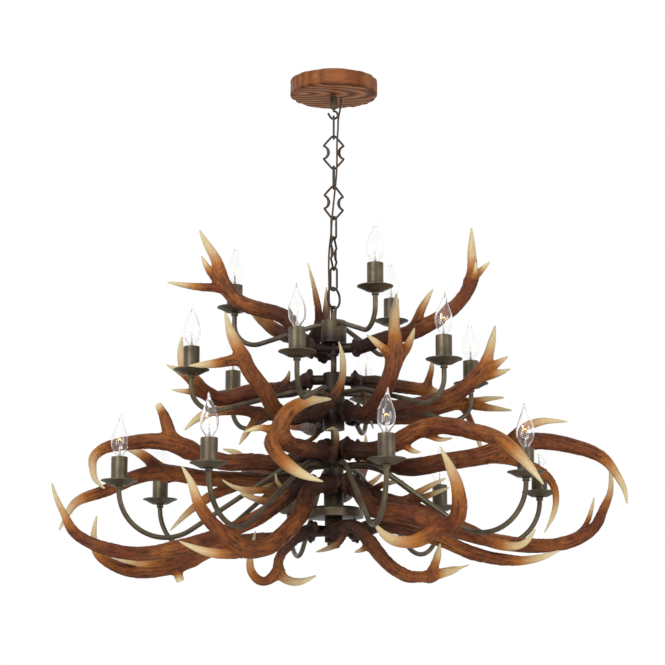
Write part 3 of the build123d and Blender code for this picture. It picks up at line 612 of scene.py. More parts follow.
def wood_finish(look, groups):
    """Slab of softwood: growth rings round a heart near its left rim, with finer grain along X."""
    material, tree, shader = new_finish("rose_wood", IOR=1.28)
    here = object_place(tree)
    bent = speckle(tree, stretched(tree, here, (9, 12, 12)), scale=1.0, detail=1, roughness=0.4)
    from_heart = (0.07, 0.014, 0.0)
    ring_wander = 0.016
    centred = moved(tree, moved(tree, here, enlarged(tree, bent, ring_wander)), from_heart)
    rings = place(
        tree, "ShaderNodeTexWave",
        {"Vector": stretched(tree, centred, (0.35, 1.0, 1.0)), "Scale": 23.0, "Distortion": 1.4,
         "Detail": 2.0, "Detail Scale": 0.5},
        wave_type="RINGS", rings_direction="Z", wave_profile="SAW",
    ).outputs["Fac"]
    streak, _, streak_height = streaks(tree, groups, stretched(tree, here, (1 / METRE,) * 3))
    base = ramp(
        tree, rings,
        [(0.0, look.dark_wood), (0.25, look.wood), (0.6, look.light_wood), (0.85, look.wood),
         (1.0, look.dark_wood)],
    )
    face_z, side_z = (3 - rose_height) * METRE, (6 - rose_height) * METRE
    # The side gets softer rings and painted shade, darker than the face below
    shaded_side_wood = between(look.wood, look.dark_wood, share=0.3)
    base = overlaid(tree, base, shaded_side_wood, object_height(tree), face_z, side_z, 0.0, 0.72)
    blotch = spread(tree, speckle(tree, here, scale=22, detail=4, roughness=0.6), 0.3, 0.7)
    base = overlaid(tree, base, look.wood, blotch, to_high=0.3)
    base = overlaid(tree, base, look.dark_wood, streak, to_high=0.42)
    base = overlaid(tree, base, look.dark_wood, own_value(tree, "hollow"), 0.2, 1.0, to_high=0.75)
    feed(tree, shader, Base_Color=base, Roughness=spread(tree, streak, 0, 1, 0.42, 0.6))
    height = compute(tree, "MULTIPLY_ADD", rings, 0.6, streak_height)
    bump(tree, shader, height, distance=0.0007, strength=0.6)
    return material


def cord_finish(look, groups):
    """Woven brown cover, with threads that follow the twist in the piece's own UV map."""
    material, tree, shader = new_finish("cord_cover", Roughness=0.8, Sheen_Weight=0.2)
    lap = place(tree, "ShaderNodeUVMap", uv_map="lay").outputs["UV"]
    weave = place(
        tree, "ShaderNodeTexWave", {"Vector": lap, "Scale": 1.0, "Distortion": 0.4},
        wave_type="BANDS", bands_direction="DIAGONAL", wave_profile="SIN",
    ).outputs["Fac"]
    patches = patina(tree, groups, patch_size=60.0)[0]
    colour = overlaid(tree, look.cover, look.thread, weave, 0.2, 0.9)
    colour = overlaid(tree, colour, scaled_colour(look.cover, 0.5), patches, to_high=0.4)
    feed(tree, shader, Base_Color=colour)
    bump(tree, shader, weave, distance=0.0003, strength=0.7)
    return material


def plain_finish(name, groups, colour, roughness, patch=80.0):
    """Moulded or fired material of one colour, with a faint cloudiness and grain."""
    material, tree, shader = new_finish(name)
    patches, _, height = patina(tree, groups, patch)
    cloudy = mixed(tree, patches, scaled_colour(colour, 0.82), colour)
    rough = spread(tree, patches, 0, 1, roughness, roughness + 0.1)
    feed(tree, shader, Base_Color=cloudy, Roughness=rough)
    bump(tree, shader, height, distance=0.00015, strength=0.4)
    return material


def glass_finish():
    """Clear blown glass; its faint waves are in the bump."""
    material, tree, shader = new_finish(
        "clear_glass", Base_Color=(1.0, 1.0, 1.0), Roughness=0.0, IOR=1.47, Transmission_Weight=1.0,
    )
    waves = speckle(tree, object_place(tree), scale=40, detail=2, roughness=0.4)
    bump(tree, shader, waves, distance=0.0004, strength=0.25)
    return material


def filament_finish(look):
    """Tungsten wire that glows warm, a little more in its middle."""
    material, tree, shader = new_finish(
        "filament", Roughness=0.4, Base_Color=(0.3, 0.24, 0.18), Emission_Strength=look.glow_strength,
    )
    heat = spread(tree, speckle(tree, object_place(tree), scale=300, detail=1, roughness=0.4), 0.3, 0.7)
    feed(tree, shader, Emission_Color=mixed(tree, heat, scaled_colour(look.glow, 0.8), look.glow))
    return material


finishes = {}


def finish_for(name):
    """The finish of that name, with all of them made on the first call."""
    if not finishes:
        scene = bpy.context.scene
        groups = {"streaks": streaks_group(), "patina": patina_group()}
        metal = scene.chandelier_metal
        rough = metal.roughness
        dark_chain = scaled_colour(metal.chain, 0.55)
        zinc = srgb(168, 168, 165), srgb(132, 132, 130)
        brass = srgb(186, 156, 100), srgb(150, 120, 72)
        finishes["antler"] = antler_finish(scene.chandelier_antlers, groups)
        finishes["bronze"] = metal_finish("aged_bronze", groups, metal.bronze, metal.bronze_dark, rough)
        finishes["hub"] = hub_finish(metal, scene.chandelier_antlers.stain_and_shade, groups)
        finishes["chain"] = metal_finish(
            "cast_chain", groups, metal.chain, dark_chain, rough + 0.05, patch=60.0,
        )
        finishes["zinc"] = metal_finish("zinc_steel", groups, *zinc, roughness=0.34, metallic=0.95)
        finishes["brass"] = metal_finish("cap_brass", groups, *brass, roughness=0.3, metallic=0.95)
        finishes["plastic"] = plain_finish("terminal_plastic", groups, srgb(226, 224, 215), roughness=0.4)
        finishes["holder"] = plain_finish("holder_plastic", groups, srgb(40, 38, 36), roughness=0.45)
        finishes["lead_glass"] = plain_finish("lead_glass", groups, srgb(220, 222, 218), roughness=0.15)
        finishes["wood"] = wood_finish(scene.chandelier_rose, groups)
        finishes["cord"] = cord_finish(scene.chandelier_cord, groups)
        finishes["glass"] = glass_finish()
        finishes["filament"] = filament_finish(scene.chandelier_bulbs)
    return finishes[name]


# ---------------- sizes shared with the part
hub_z = node_top("top_hub")
top_antler_level = hub_z - 58
middle_high_antler_level = hub_z - 122
middle_low_antler_level = hub_z - 194
bottom_high_antler_level = hub_z - 270
bottom_low_antler_level = hub_z - 340
under_antler_level = hub_z - 430
seat_radius = 42
root_run = 14

arm_radius = 5
socket_depth = 5
pan_depth = 11
pan_floor = -9.4
sleeve_radius = 16.25
sleeve_top = 45.6
holder_top = pan_floor + 53
cap_top = holder_top + 1
bulb_height = 87
bulb_radius = 17.5

rose_radius = 91
rose_height = 35
cavity_radius = 72
cavity_depth = 20
thread_hole_radius = 5.3


class Tier(NamedTuple):
    """Arms of one height: lengths in millimetres, bearing and slope in degrees, drops from the top hub."""

    name: str
    count: int
    bearing: float
    reach: float
    drop: float
    slope: float
    knee: float
    bend: float
    bend_drop: float
    pan_drop: float
    hub_radius: float


tiers = [
    Tier(
        "top", count=3, bearing=53.4, reach=205, drop=9, slope=17, knee=30, bend=42, bend_drop=4,
        pan_drop=-34, hub_radius=26,
    ),
    Tier(
        "middle", count=6, bearing=16.3, reach=296, drop=150, slope=16, knee=60, bend=46, bend_drop=150,
        pan_drop=114, hub_radius=22,
    ),
    Tier(
        "bottom", count=8, bearing=12.8, reach=434, drop=298, slope=34.5, knee=100, bend=92,
        bend_drop=358, pan_drop=338, hub_radius=20,
    ),
]


def lamp_spots(tier):
    """(x, y, z, bearing) of each of the tier's lamps."""
    bearings = [tier.bearing + 360 / tier.count * turn for turn in range(tier.count)]
    z = hub_z - tier.pan_drop
    return [(tier.reach * cos(radians(b)), tier.reach * sin(radians(b)), z, b) for b in bearings]


all_lamp_spots = [spot for tier in tiers for spot in lamp_spots(tier)]


class Antler(NamedTuple):
    """Points are (x, y, height above the seat's level); a tine is its girth and its points.

    A girth is the radius at the thick end.
    """

    name: str
    level: float
    bearing: float
    girth: float
    beam: list
    tines: list


# Chosen along each beam and tine. The lines are those of the part's own antlers, with eight small
# tines more; most girths are 1 to 4 mm more than the part's.
antlers = [
    Antler("antler_top_left", top_antler_level, bearing=200, girth=16, beam=[
        (-90, -35, 50), (-145, -35, 75), (-190, -35, 90), (-220, -30, 125), (-240, -25, 180),
        (-260, -20, 215), (-275, -15, 245),
    ], tines=[
        (9, [(-230, -30, 130), (-255, -20, 160), (-270, -20, 190)]),
        (9, [(-220, -30, 120), (-285, -25, 125), (-340, -20, 135)]),
    ]),
    Antler("antler_top_right", top_antler_level, bearing=-20, girth=16, beam=[
        (95, -50, 10), (150, -70, 20), (205, -75, 45), (250, -75, 80), (275, -70, 120), (280, -60, 170),
        (280, -55, 240),
    ], tines=[
        (8, [(275, -70, 125), (295, -75, 145), (315, -75, 165)]),
        (6, [(275, -70, 120), (285, -90, 145), (285, -95, 160)]),
        (10, [(160, -70, 25), (180, -70, 75), (200, -70, 110)]),
    ]),
    Antler("antler_top_back", top_antler_level, bearing=115, girth=15, beam=[
        (-65, 60, 30), (-100, 85, 45), (-140, 110, 75), (-170, 130, 105), (-190, 140, 130),
    ], tines=[
        (6, [(-150, 115, 85), (-155, 120, 105), (-155, 120, 125)]),
        (11, [(-45, 45, 25), (-30, 30, 55), (-35, 20, 125), (-50, 10, 185)]),
        (8, [(-30, 35, 25), (-20, 45, 65), (-15, 50, 140)]),
    ]),
    Antler("antler_middle_front_left", middle_low_antler_level, bearing=-140, girth=17, beam=[
        (-65, -60, -10), (-110, -95, -10), (-140, -130, 35), (-165, -145, 65), (-185, -150, 105),
        (-200, -150, 135), (-215, -140, 185),
    ], tines=[
        (11, [(-180, -150, 90), (-230, -150, 80), (-285, -150, 75)]),
        (12, [(-40, -45, -10), (-15, -70, 10), (15, -85, 50), (20, -90, 85), (10, -90, 135)]),
    ]),
    Antler("antler_middle_left", middle_high_antler_level, bearing=175, girth=17, beam=[
        (-70, 10, -10), (-130, 10, -20), (-190, 5, -30), (-230, 0, -40), (-260, 0, -25), (-290, 0, 5),
        (-310, 0, 45), (-310, 5, 90),
    ], tines=[
        (8, [(-280, 0, -5), (-310, -5, 15), (-340, -10, 30)]),
        (7, [(-255, 0, -30), (-290, 0, -25), (-330, 0, -20)]),
        (7, [(-110, 5, -15), (-95, 0, 0), (-90, 0, 20)]),
    ]),
    Antler("antler_middle_low_left", middle_low_antler_level, bearing=172, girth=12, beam=[
        (-110, -10, -5), (-170, -20, 5), (-225, -25, 5), (-265, -25, -5), (-300, -30, -35),
    ], tines=[
        (8, [(-150, -20, 0), (-170, -20, -30), (-190, -30, -65)]),
    ]),
    Antler("antler_middle_front_right", middle_low_antler_level, bearing=-55, girth=17, beam=[
        (65, -80, -10), (90, -115, 15), (105, -140, 40), (115, -150, 70), (120, -150, 110),
        (120, -140, 160), (125, -125, 225),
    ], tines=[
        (10, [(120, -150, 85), (95, -160, 110), (65, -160, 135)]),
        (10, [(120, -150, 85), (145, -140, 115), (160, -130, 155)]),
    ]),
    Antler("antler_middle_right_back", middle_high_antler_level, bearing=25, girth=14, beam=[
        (75, 25, 0), (130, 45, -5), (180, 60, -10), (220, 70, -20), (255, 85, -30),
    ], tines=[
        (8, [(190, 60, -10), (200, 60, 25), (205, 60, 60)]),
        (7, [(50, 10, 5), (55, -20, -25), (65, -25, -60), (80, -30, -105)]),
    ]),
    Antler("antler_middle_right", middle_low_antler_level, bearing=-3, girth=18, beam=[
        (90, 0, 5), (145, 0, 15), (195, 0, 25), (240, 5, 40), (275, 5, 65), (305, 5, 100), (320, 5, 140),
        (330, 5, 185),
    ], tines=[
        (10, [(300, 5, 90), (330, 0, 105), (355, -5, 120)]),
        (10, [(285, 5, 75), (330, 5, 85), (360, 0, 95)]),
    ]),
    Antler("antler_middle_low_right", middle_low_antler_level, bearing=42, girth=12, beam=[
        (105, 55, 0), (180, 90, 10), (230, 95, 30), (270, 105, 40), (315, 110, 50), (355, 120, 55),
    ], tines=[
        (9, [(275, 105, 40), (325, 100, 30), (370, 100, 25)]),
        (7, [(265, 105, 40), (290, 90, -15), (310, 80, -85)]),
    ]),
    Antler("antler_middle_back", middle_low_antler_level, bearing=105, girth=15, beam=[
        (-25, 95, -5), (-45, 160, -5), (-60, 225, 15), (-65, 275, 50), (-60, 305, 100),
    ], tines=[
        (8, [(-60, 215, 10), (-95, 255, 15), (-125, 270, 45)]),
        (8, [(-65, 260, 35), (-35, 300, 45), (-15, 315, 75)]),
        (6, [(-28, 100, -8), (-40, 90, -32), (-55, 85, -42), (-80, 80, -48)]),
    ]),
    Antler("antler_left_upper", bottom_high_antler_level, bearing=180, girth=18, beam=[
        (-80, 5, -15), (-145, 5, -20), (-215, 0, -20), (-260, -5, -10), (-310, -15, 10), (-370, -20, 20),
        (-420, -15, 15), (-465, -10, 5), (-485, -5, -15), (-485, -5, -35), (-480, -10, -55),
        (-460, -10, -75),
    ], tines=[
        (15, [(-295, -10, 5), (-325, -15, 25), (-340, -20, 65), (-355, -15, 95)]),
    ]),
    Antler("antler_left_inner", bottom_low_antler_level, bearing=160, girth=17, beam=[
        (-70, 25, 10), (-130, 40, 15), (-190, 45, 20), (-275, 50, 25), (-345, 50, 35), (-415, 45, 20),
        (-455, 40, 0), (-495, 35, -15), (-525, 35, -30), (-540, 30, -55), (-555, 30, -85),
    ], tines=[
        (13, [(-340, 50, 30), (-375, 55, 60), (-405, 60, 80), (-440, 60, 90)]),
        (12, [(-170, 45, 20), (-250, 75, -10), (-295, 85, -40), (-335, 90, -80)]),
        (8, [(-110, 36, 14), (-125, 5, 2), (-143, -12, -6), (-162, -15, -8)]),
    ]),
    Antler("antler_left_lower", bottom_low_antler_level, bearing=-148, girth=16, beam=[
        (-85, -45, -20), (-140, -80, -65), (-205, -105, -100), (-250, -120, -120), (-310, -120, -135),
        (-375, -110, -145), (-440, -100, -135), (-490, -90, -115), (-515, -80, -95), (-535, -70, -60),
        (-550, -65, -30), (-560, -60, 0),
    ], tines=[
        (9, [(-100, -55, -30), (-136, -60, -36), (-162, -60, -30), (-186, -60, -22)]),
        (8, [
            (-98, -53, -28), (-120, -58, -17), (-150, -60, -14), (-176, -60, -13), (-202, -60, -6),
            (-222, -60, 7),
        ]),
        (6, [(-92, -50, -26), (-102, -66, -10), (-113, -70, 3), (-115, -72, 18)]),
    ]),
    Antler("antler_left_under", under_antler_level, bearing=160, girth=17, beam=[
        (-70, 25, -5), (-170, 50, -15), (-250, 60, -30), (-300, 60, -55), (-370, 55, -75), (-430, 50, -70),
        (-460, 45, -55), (-480, 40, -35), (-485, 35, 0), (-480, 35, 35),
    ], tines=[
        (12, [(-295, 60, -50), (-390, 35, -60), (-455, 10, -45)]),
        (12, [(-290, 60, -50), (-315, 60, -75), (-310, 60, -95)]),
    ]),
    Antler("antler_front_left", bottom_low_antler_level, bearing=-101, girth=18, beam=[
        (-45, -75, -15), (-60, -110, -55), (-75, -140, -85), (-105, -170, -120), (-130, -195, -140),
        (-165, -215, -145), (-195, -230, -130), (-230, -245, -100), (-255, -250, -65), (-270, -250, -25),
        (-290, -245, 10),
    ], tines=[
        (11, [(-150, -205, -145), (-200, -220, -155), (-245, -220, -150), (-295, -215, -130)]),
    ]),
    Antler("antler_front_right_upper", bottom_high_antler_level, bearing=-54, girth=18, beam=[
        (65, -65, -5), (120, -100, 5), (165, -135, 25), (210, -165, 30), (265, -200, 15), (320, -240, -10),
        (355, -270, -45), (395, -290, -100),
    ], tines=[
        (7, [(130, -105, 10), (155, -130, -15), (170, -150, -20)]),
        (6, [(170, -140, 25), (205, -150, 5), (230, -165, 5)]),
    ]),
    Antler("antler_front_right", bottom_low_antler_level, bearing=-50, girth=19, beam=[
        (65, -80, -40), (130, -140, -70), (175, -170, -85), (210, -195, -100), (230, -215, -95),
        (240, -225, -55), (225, -225, 5), (205, -220, 50),
    ], tines=[
        (14, [(200, -190, -100), (155, -215, -130), (115, -230, -130), (90, -240, -115), (75, -245, -95)]),
    ]),
    Antler("antler_under_right", under_antler_level, bearing=-90, girth=14, beam=[
        (5, -60, 0), (30, -70, 5), (60, -80, -15), (80, -80, -40), (105, -75, -70), (150, -65, -95),
        (205, -50, -90), (270, -30, -70),
    ], tines=[
        (10, [(190, -55, -95), (205, -60, -55), (210, -65, -30)]),
        (8, [(20, -70, 0), (10, -85, -30), (-5, -90, -40), (-35, -95, -50)]),
        (6, [(70, -80, -35), (55, -85, -45), (40, -90, -50)]),
    ]),
    Antler("antler_under_left", under_antler_level, bearing=-145, girth=10, beam=[
        (-55, -42, -6), (-85, -56, -30), (-108, -60, -62), (-104, -62, -92), (-78, -66, -106),
        (-35, -75, -95),
    ], tines=[
        (9, [(-110, -60, -85), (-140, -60, -105), (-160, -60, -90), (-165, -55, -55), (-155, -55, -5)]),
    ]),
    Antler("antler_front", bottom_high_antler_level, bearing=-104, girth=18, beam=[
        (-22, -72, -6), (-62, -120, -8), (-90, -145, -2), (-105, -160, 20), (-95, -160, 50),
        (-75, -150, 70), (-45, -130, 85), (-5, -115, 90),
    ], tines=[
        (15, [(-105, -160, 10), (-120, -180, -5), (-95, -195, -45), (-60, -200, -70), (-20, -205, -85)]),
        (8, [(-105, -160, 15), (-140, -170, 25), (-175, -175, 15)]),
        (8, [(-5, -60, -25), (5, -80, 10), (0, -90, 35), (-15, -100, 30)]),
    ]),
    Antler("antler_right_upper", bottom_high_antler_level, bearing=-6, girth=19, beam=[
        (75, -5, -5), (135, -10, -30), (235, -20, -20), (295, -20, -10), (350, -20, 10), (410, -15, 20),
        (485, -10, 10), (545, -5, -15), (570, 0, -45), (585, 0, -75), (590, 0, -105),
    ], tines=[
        (11, [(340, -20, 0), (365, -45, 30), (400, -60, 50), (465, -80, 50)]),
        (12, [
            (315, -20, -10), (395, 15, -25), (440, 25, -55), (450, 30, -85), (445, 30, -120),
            (425, 30, -160),
        ]),
    ]),
    Antler("antler_right_outer", under_antler_level, bearing=25, girth=16, beam=[
        (75, 20, 10), (155, 30, 10), (235, 20, 5), (315, 25, -15), (380, 25, -25), (440, 30, -25),
        (495, 30, -10), (530, 30, 15), (545, 35, 45), (560, 35, 80), (560, 30, 140),
    ], tines=[
        (6, [(495, 30, -5), (515, 45, 25), (530, 50, 75)]),
    ]),
    Antler("antler_right_inner", bottom_low_antler_level, bearing=0, girth=15, beam=[
        (75, -15, -15), (130, -45, -40), (180, -60, -60), (230, -65, -80), (290, -60, -105),
        (350, -50, -125), (375, -50, -120), (400, -45, -90),
    ], tines=[
        (7, [(72, -15, -14), (95, -45, -2), (118, -58, 2), (140, -62, 4)]),
        (8, [(130, -45, -40), (165, -58, -20), (195, -62, -4), (223, -62, 10)]),
        (8, [(135, -47, -42), (175, -42, -28), (205, -38, -16), (231, -38, -6)]),
    ]),
    Antler("antler_right_under", under_antler_level, bearing=-33, girth=15, beam=[
        (75, -40, 5), (140, -50, 0), (210, -40, -20), (270, -35, -45), (350, -25, -60), (410, -20, -55),
        (450, -15, -40),
    ], tines=[]),
    Antler("antler_back", bottom_low_antler_level, bearing=80, girth=16, beam=[
        (15, 95, -5), (30, 170, 10), (45, 250, 35), (60, 320, 70), (70, 360, 115), (70, 380, 160),
    ], tines=[
        (8, [(40, 225, 30), (80, 270, 40), (110, 290, 70)]),
        (8, [(50, 290, 55), (20, 335, 60), (0, 350, 90)]),
    ]),
    Antler("antler_back_left", bottom_high_antler_level, bearing=128, girth=16, beam=[
        (-50, 70, -15), (-100, 140, -25), (-150, 205, -20), (-190, 270, 5), (-205, 300, 35),
        (-240, 320, 50),
    ], tines=[
        (8, [(-130, 180, -20), (-130, 235, -15), (-125, 275, 15)]),
        (7, [(-160, 215, -20), (-215, 225, -25), (-260, 235, -10)]),
    ]),
]


# ---------------- antlers
# Taper: a branch keeps its radius for longer with a higher fullness, and its root changes by a share
beam_tip_radius = 1.7
tine_tip_radius = 1.1
beam_fullness = 5
tine_fullness = 2.6
beam_root_change = -0.18
tine_root_change = 0.3
root_power = 8
# Tines that end in a rounded knob, by antler and place in its list, with the knob's radius
blunt_tips = {("antler_left_upper", 0): 6.5, ("antler_left_under", 1): 8.5}
blunt_pale_length = 26

# Skin: spacing of the centre lines, least radius and voxel of the rough skin, and the forks' softness
line_spacing = 7 if DENSE else 14
thinnest_tube = 2.7
rough_sides = 14
voxel_size = 0.0023 if DENSE else 0.0045
fork_softness = 3.2
pale_softness = 4.5
fitting_turns = 4
farthest_step = 4

# Relief: lengths over which each noise changes, along and across the grain
groove_lengths = (30, 3.6, 3.6)
pearl_lengths = (6.5, 4.6, 4.6)
knob_lengths = (7.5, 6.5, 6.5)
sway_length = 34
groove_seed = 11
pearl_seed = 23
knob_seed = 31
sway_seed = 5
pearled_run = (40, 220)
# Run from the burr over which the dark staining and painted shade fade out
burr_stain_and_shade_run = (15, 230)
burr_crown = 7.2
burr_middle = 6.5
burr_width = 6
seat_roughness = 0.8


class Branch:
    """A beam or tine: its centre line, radius, side frames and the length of its pale end."""

    def __init__(self, points, girth, end_girth, fullness, root_change, pale_length, start_from_burr):
        self.line = smooth_line(points, line_spacing)
        share = np.linspace(0, 1, len(self.line))
        full_girth = girth * (1 + root_change * (1 - share) ** root_power)
        self.radius = end_girth + (full_girth - end_girth) * (1 - share**fullness)
        self.girth = girth
        self.run = lengths_along(self.line)
        _, self.side, self.up = carried_frames(self.line)
        self.pale_length = min(pale_length, 0.8 * self.run[-1])
        self.start_from_burr = start_from_burr

    def nearest(self, points):
        """Nearest place on the centre line: distance less radius, outward unit vector, run and step."""
        start, step = self.line[:-1], np.diff(self.line, axis=0)
        squared = (step**2).sum(1)
        ahead = points @ step.T - (start * step).sum(1)
        along = np.clip(ahead / squared, 0, 1)
        apart = (points**2).sum(1)[:, None] - 2 * points @ start.T + (start**2).sum(1)
        apart = apart - 2 * along * ahead + along**2 * squared
        radii = self.radius[:-1] + along * np.diff(self.radius)
        depth = np.sqrt(np.maximum(apart, 1e-9)) - radii
        cell = depth.argmin(1)
        row = np.arange(len(points))
        share = along[row, cell]
        outward = points - start[cell] - share[:, None] * step[cell]
        distance = np.maximum(np.linalg.norm(outward, axis=1), 1e-6)
        run = self.run[cell] + share * (self.run[cell + 1] - self.run[cell])
        return depth[row, cell], outward / distance[:, None], run, cell


def antler_branches(shape, pale_length):
    """Beam first, then tines, in millimetres; returns the seat's centre and direction too."""
    angle = radians(shape.bearing)
    lead = np.array([cos(angle), sin(angle), 0])
    seat = lead * seat_radius + [0, 0, shape.level]
    beam = [seat, seat + lead * root_run] + [(x, y, shape.level + z) for x, y, z in shape.beam]
    branches = [Branch(beam, shape.girth, beam_tip_radius, beam_fullness, beam_root_change, pale_length, 0)]
    for index, (girth, points) in enumerate(shape.tines):
        line = [(x, y, shape.level + z) for x, y, z in points]
        start_run = branches[0].nearest(np.array(line[:1], float))[2][0]
        knob = blunt_tips.get((shape.name, index))
        tip_radius, worn_length = (knob, blunt_pale_length) if knob else (tine_tip_radius, pale_length)
        branches.append(
            Branch(line, girth, tip_radius, tine_fullness, tine_root_change, worn_length, start_run)
        )
    return branches, seat, lead


def joined_skin(branches, name):
    """Tubes along all branches, made one closed skin by a voxel remesh."""
    tubes = [tube(b.line, np.maximum(b.radius, thinnest_tube), rough_sides) for b in branches]
    rough = new_object(name + "_rough", new_mesh(name, *gather(tubes)))
    remesh = rough.modifiers.new("Join", "REMESH")
    remesh.mode = "VOXEL"
    remesh.voxel_size = voxel_size
    skin = bpy.data.meshes.new_from_object(rough.evaluated_get(bpy.context.evaluated_depsgraph_get()))
    bpy.data.objects.remove(rough)
    skin.name = name
    return skin


def softly(depth, softness):
    """Weight of each branch at each point: exp(-(d - least d) / softness)."""
    return np.exp(-np.clip(depth - depth.min(0), 0, 60) / softness)


def fitted(points, branches, seat, lead):
    """Moves the points onto the smooth union of the branches, cut flat at the seat.

    The union's distance is -k ln(sum exp(-d / k)) of the branches' distances d.
    """
    for _ in range(fitting_turns):
        found = [b.nearest(points) for b in branches]
        depth = np.stack([f[0] for f in found])
        weight = softly(depth, fork_softness)
        total = weight.sum(0)
        union = depth.min(0) - fork_softness * np.log(total)
        outward = sum(w[:, None] * f[1] for w, f in zip(weight, found)) / total[:, None]
        outward /= np.maximum(np.linalg.norm(outward, axis=1, keepdims=True), 1e-6)
        behind = (seat - points) @ lead
        under_seat = behind > union
        union = np.where(under_seat, behind, union)
        outward = np.where(under_seat[:, None], -lead, outward)
        points = points - np.clip(union, -farthest_step, farthest_step)[:, None] * outward
    return points, found, depth, outward, under_seat


def sculpt(points, branches, seat, lead, look):
    """Fits the skin's points to the branches, then adds the antler's relief.

    Relief is the groove, pearl and sway noise read along (run, girth cos a, girth sin a), plus the burr's
    ring. Returns the points and their values for the material: grain, pale, relief and the burr's staining
    with painted shade.
    """
    points, found, depth, outward, under_seat = fitted(points, branches, seat, lead)
    near = depth.argmin(0)
    run, from_burr, radius = np.zeros((3, len(points)))
    grain = np.zeros((len(points), 3))
    for index, (branch, result) in enumerate(zip(branches, found)):
        mine = near == index
        _, out, branch_run, cell = [values[mine] for values in result]
        across = (out * branch.side[cell]).sum(1)
        over = (out * branch.up[cell]).sum(1)
        grain[mine] = np.stack([branch_run, branch.girth * across, branch.girth * over], 1)
        run[mine] = branch_run
        from_burr[mine] = branch_run + branch.start_from_burr
        radius[mine] = branch.radius[cell]
    soft = softly(depth, pale_softness)
    ends = [1 - np.clip((b.run[-1] - f[2]) / b.pale_length, 0, 1) for b, f in zip(branches, found)]
    pale = (soft * np.stack(ends)).sum(0) / soft.sum(0)
    rough = (1 - fade(pale, 0.1, 0.8)) * fade(radius, 2, 9)
    shift = len(branches) + int(abs(seat[0]) + abs(seat[2]))
    grooves = 1 - np.abs(2 * lattice_noise(grain / groove_lengths + shift, groove_seed) - 1)
    pearls = lattice_noise(grain / pearl_lengths, pearl_seed)
    sway = lattice_noise(points / sway_length + shift, sway_seed) - 0.5
    early = 1 - fade(from_burr, *pearled_run)
    lift = -look.groove / METRE * (1 - grooves) * rough * 1.5
    lift += look.pearl / METRE * (pearls - 0.4) * rough * (0.35 + 2.2 * early)
    lift += look.sway / METRE * 2 * sway * fade(radius, 3, 10)
    knobs = 0.25 + 1.5 * lattice_noise(grain / knob_lengths, knob_seed)
    crown = burr_crown * np.exp(-(((run - burr_middle) / burr_width) ** 2)) * knobs
    lift += np.where(near == 0, crown, 0) * ~under_seat
    lift = np.where(under_seat, seat_roughness * (pearls - 0.5), lift)
    relief = np.clip(0.55 * grooves + 0.45 * pearls, 0, 1) * rough + (1 - rough)
    # Dark staining and painted shade, fading along the run from the burr
    burr_stain_and_shade = 1 - fade(from_burr, *burr_stain_and_shade_run)
    return points + lift[:, None] * outward, grain, pale, relief, burr_stain_and_shade


class CHANDELIER_OT_antlers(bpy.types.Operator):
    """Sculpts every antler around its branches and puts it in place of its CAD node"""

    bl_idname = "chandelier.antlers"
    bl_label = "Antlers"

    def execute(self, context):
        look = context.scene.chandelier_antlers
        for shape in antlers:
            name = shape.name + "_horn"
            branches, seat, lead = antler_branches(shape, look.pale_length / METRE)
            mesh = joined_skin(branches, name)
            points = point_places(mesh).astype(float) / METRE
            points, grain, *values = sculpt(points, branches, seat, lead, look)
            mesh.vertices.foreach_set("co", (points * METRE).astype(np.float32).ravel())
            set_values(mesh, "grain", "FLOAT_VECTOR", "vector", grain)
            for label, value in zip(("pale", "relief", "burr_stain_and_shade"), values):
                set_values(mesh, label, "FLOAT", "value", value)
            mesh.materials.clear()
            mesh.materials.append(finish_for("antler"))
            mesh.shade_smooth()
            mesh.update()
            declare(new_object(name, mesh), "chandelier", [shape.name])
        dress("antler_studs", "zinc")
        return {"FINISHED"}


# ---------------- arms, pans and candles
def arm_line(tier):
    """Straight out of the hub, round a knee, down a slope and up through the bend below the pan."""
    tilt = radians(tier.slope)
    level = hub_z - tier.drop
    bend_z = hub_z - tier.bend_drop
    foot = (tier.reach - tier.bend * (1 + sin(tilt)), bend_z - tier.bend * cos(tilt))
    shoulder_z = level - tier.knee * (1 - cos(tilt))
    shoulder_r = foot[0] - (shoulder_z - foot[1]) / tan(tilt)
    knee_r = shoulder_r - tier.knee * sin(tilt)
    end_z = hub_z - tier.pan_drop - pan_depth - 1
    knee_turn = np.linspace(0, tilt, 9)[:, None]
    centre = np.array([knee_r, level - tier.knee])
    knee = centre + tier.knee * np.hstack([np.sin(knee_turn), np.cos(knee_turn)])
    bend_turn = np.linspace(-tilt, pi / 2, 29)[:, None]
    centre = np.array([tier.reach - tier.bend, bend_z])
    bend = centre + tier.bend * np.hstack([np.sin(bend_turn), -np.cos(bend_turn)])
    root = (tier.hub_radius - socket_depth, level)
    upright = [(tier.reach, 0.5 * (bend_z + end_z)), (tier.reach, end_z)]
    flat = np.concatenate([[root], knee, bend, upright])
    return np.stack([flat[:, 0], np.zeros(len(flat)), flat[:, 1]], 1)


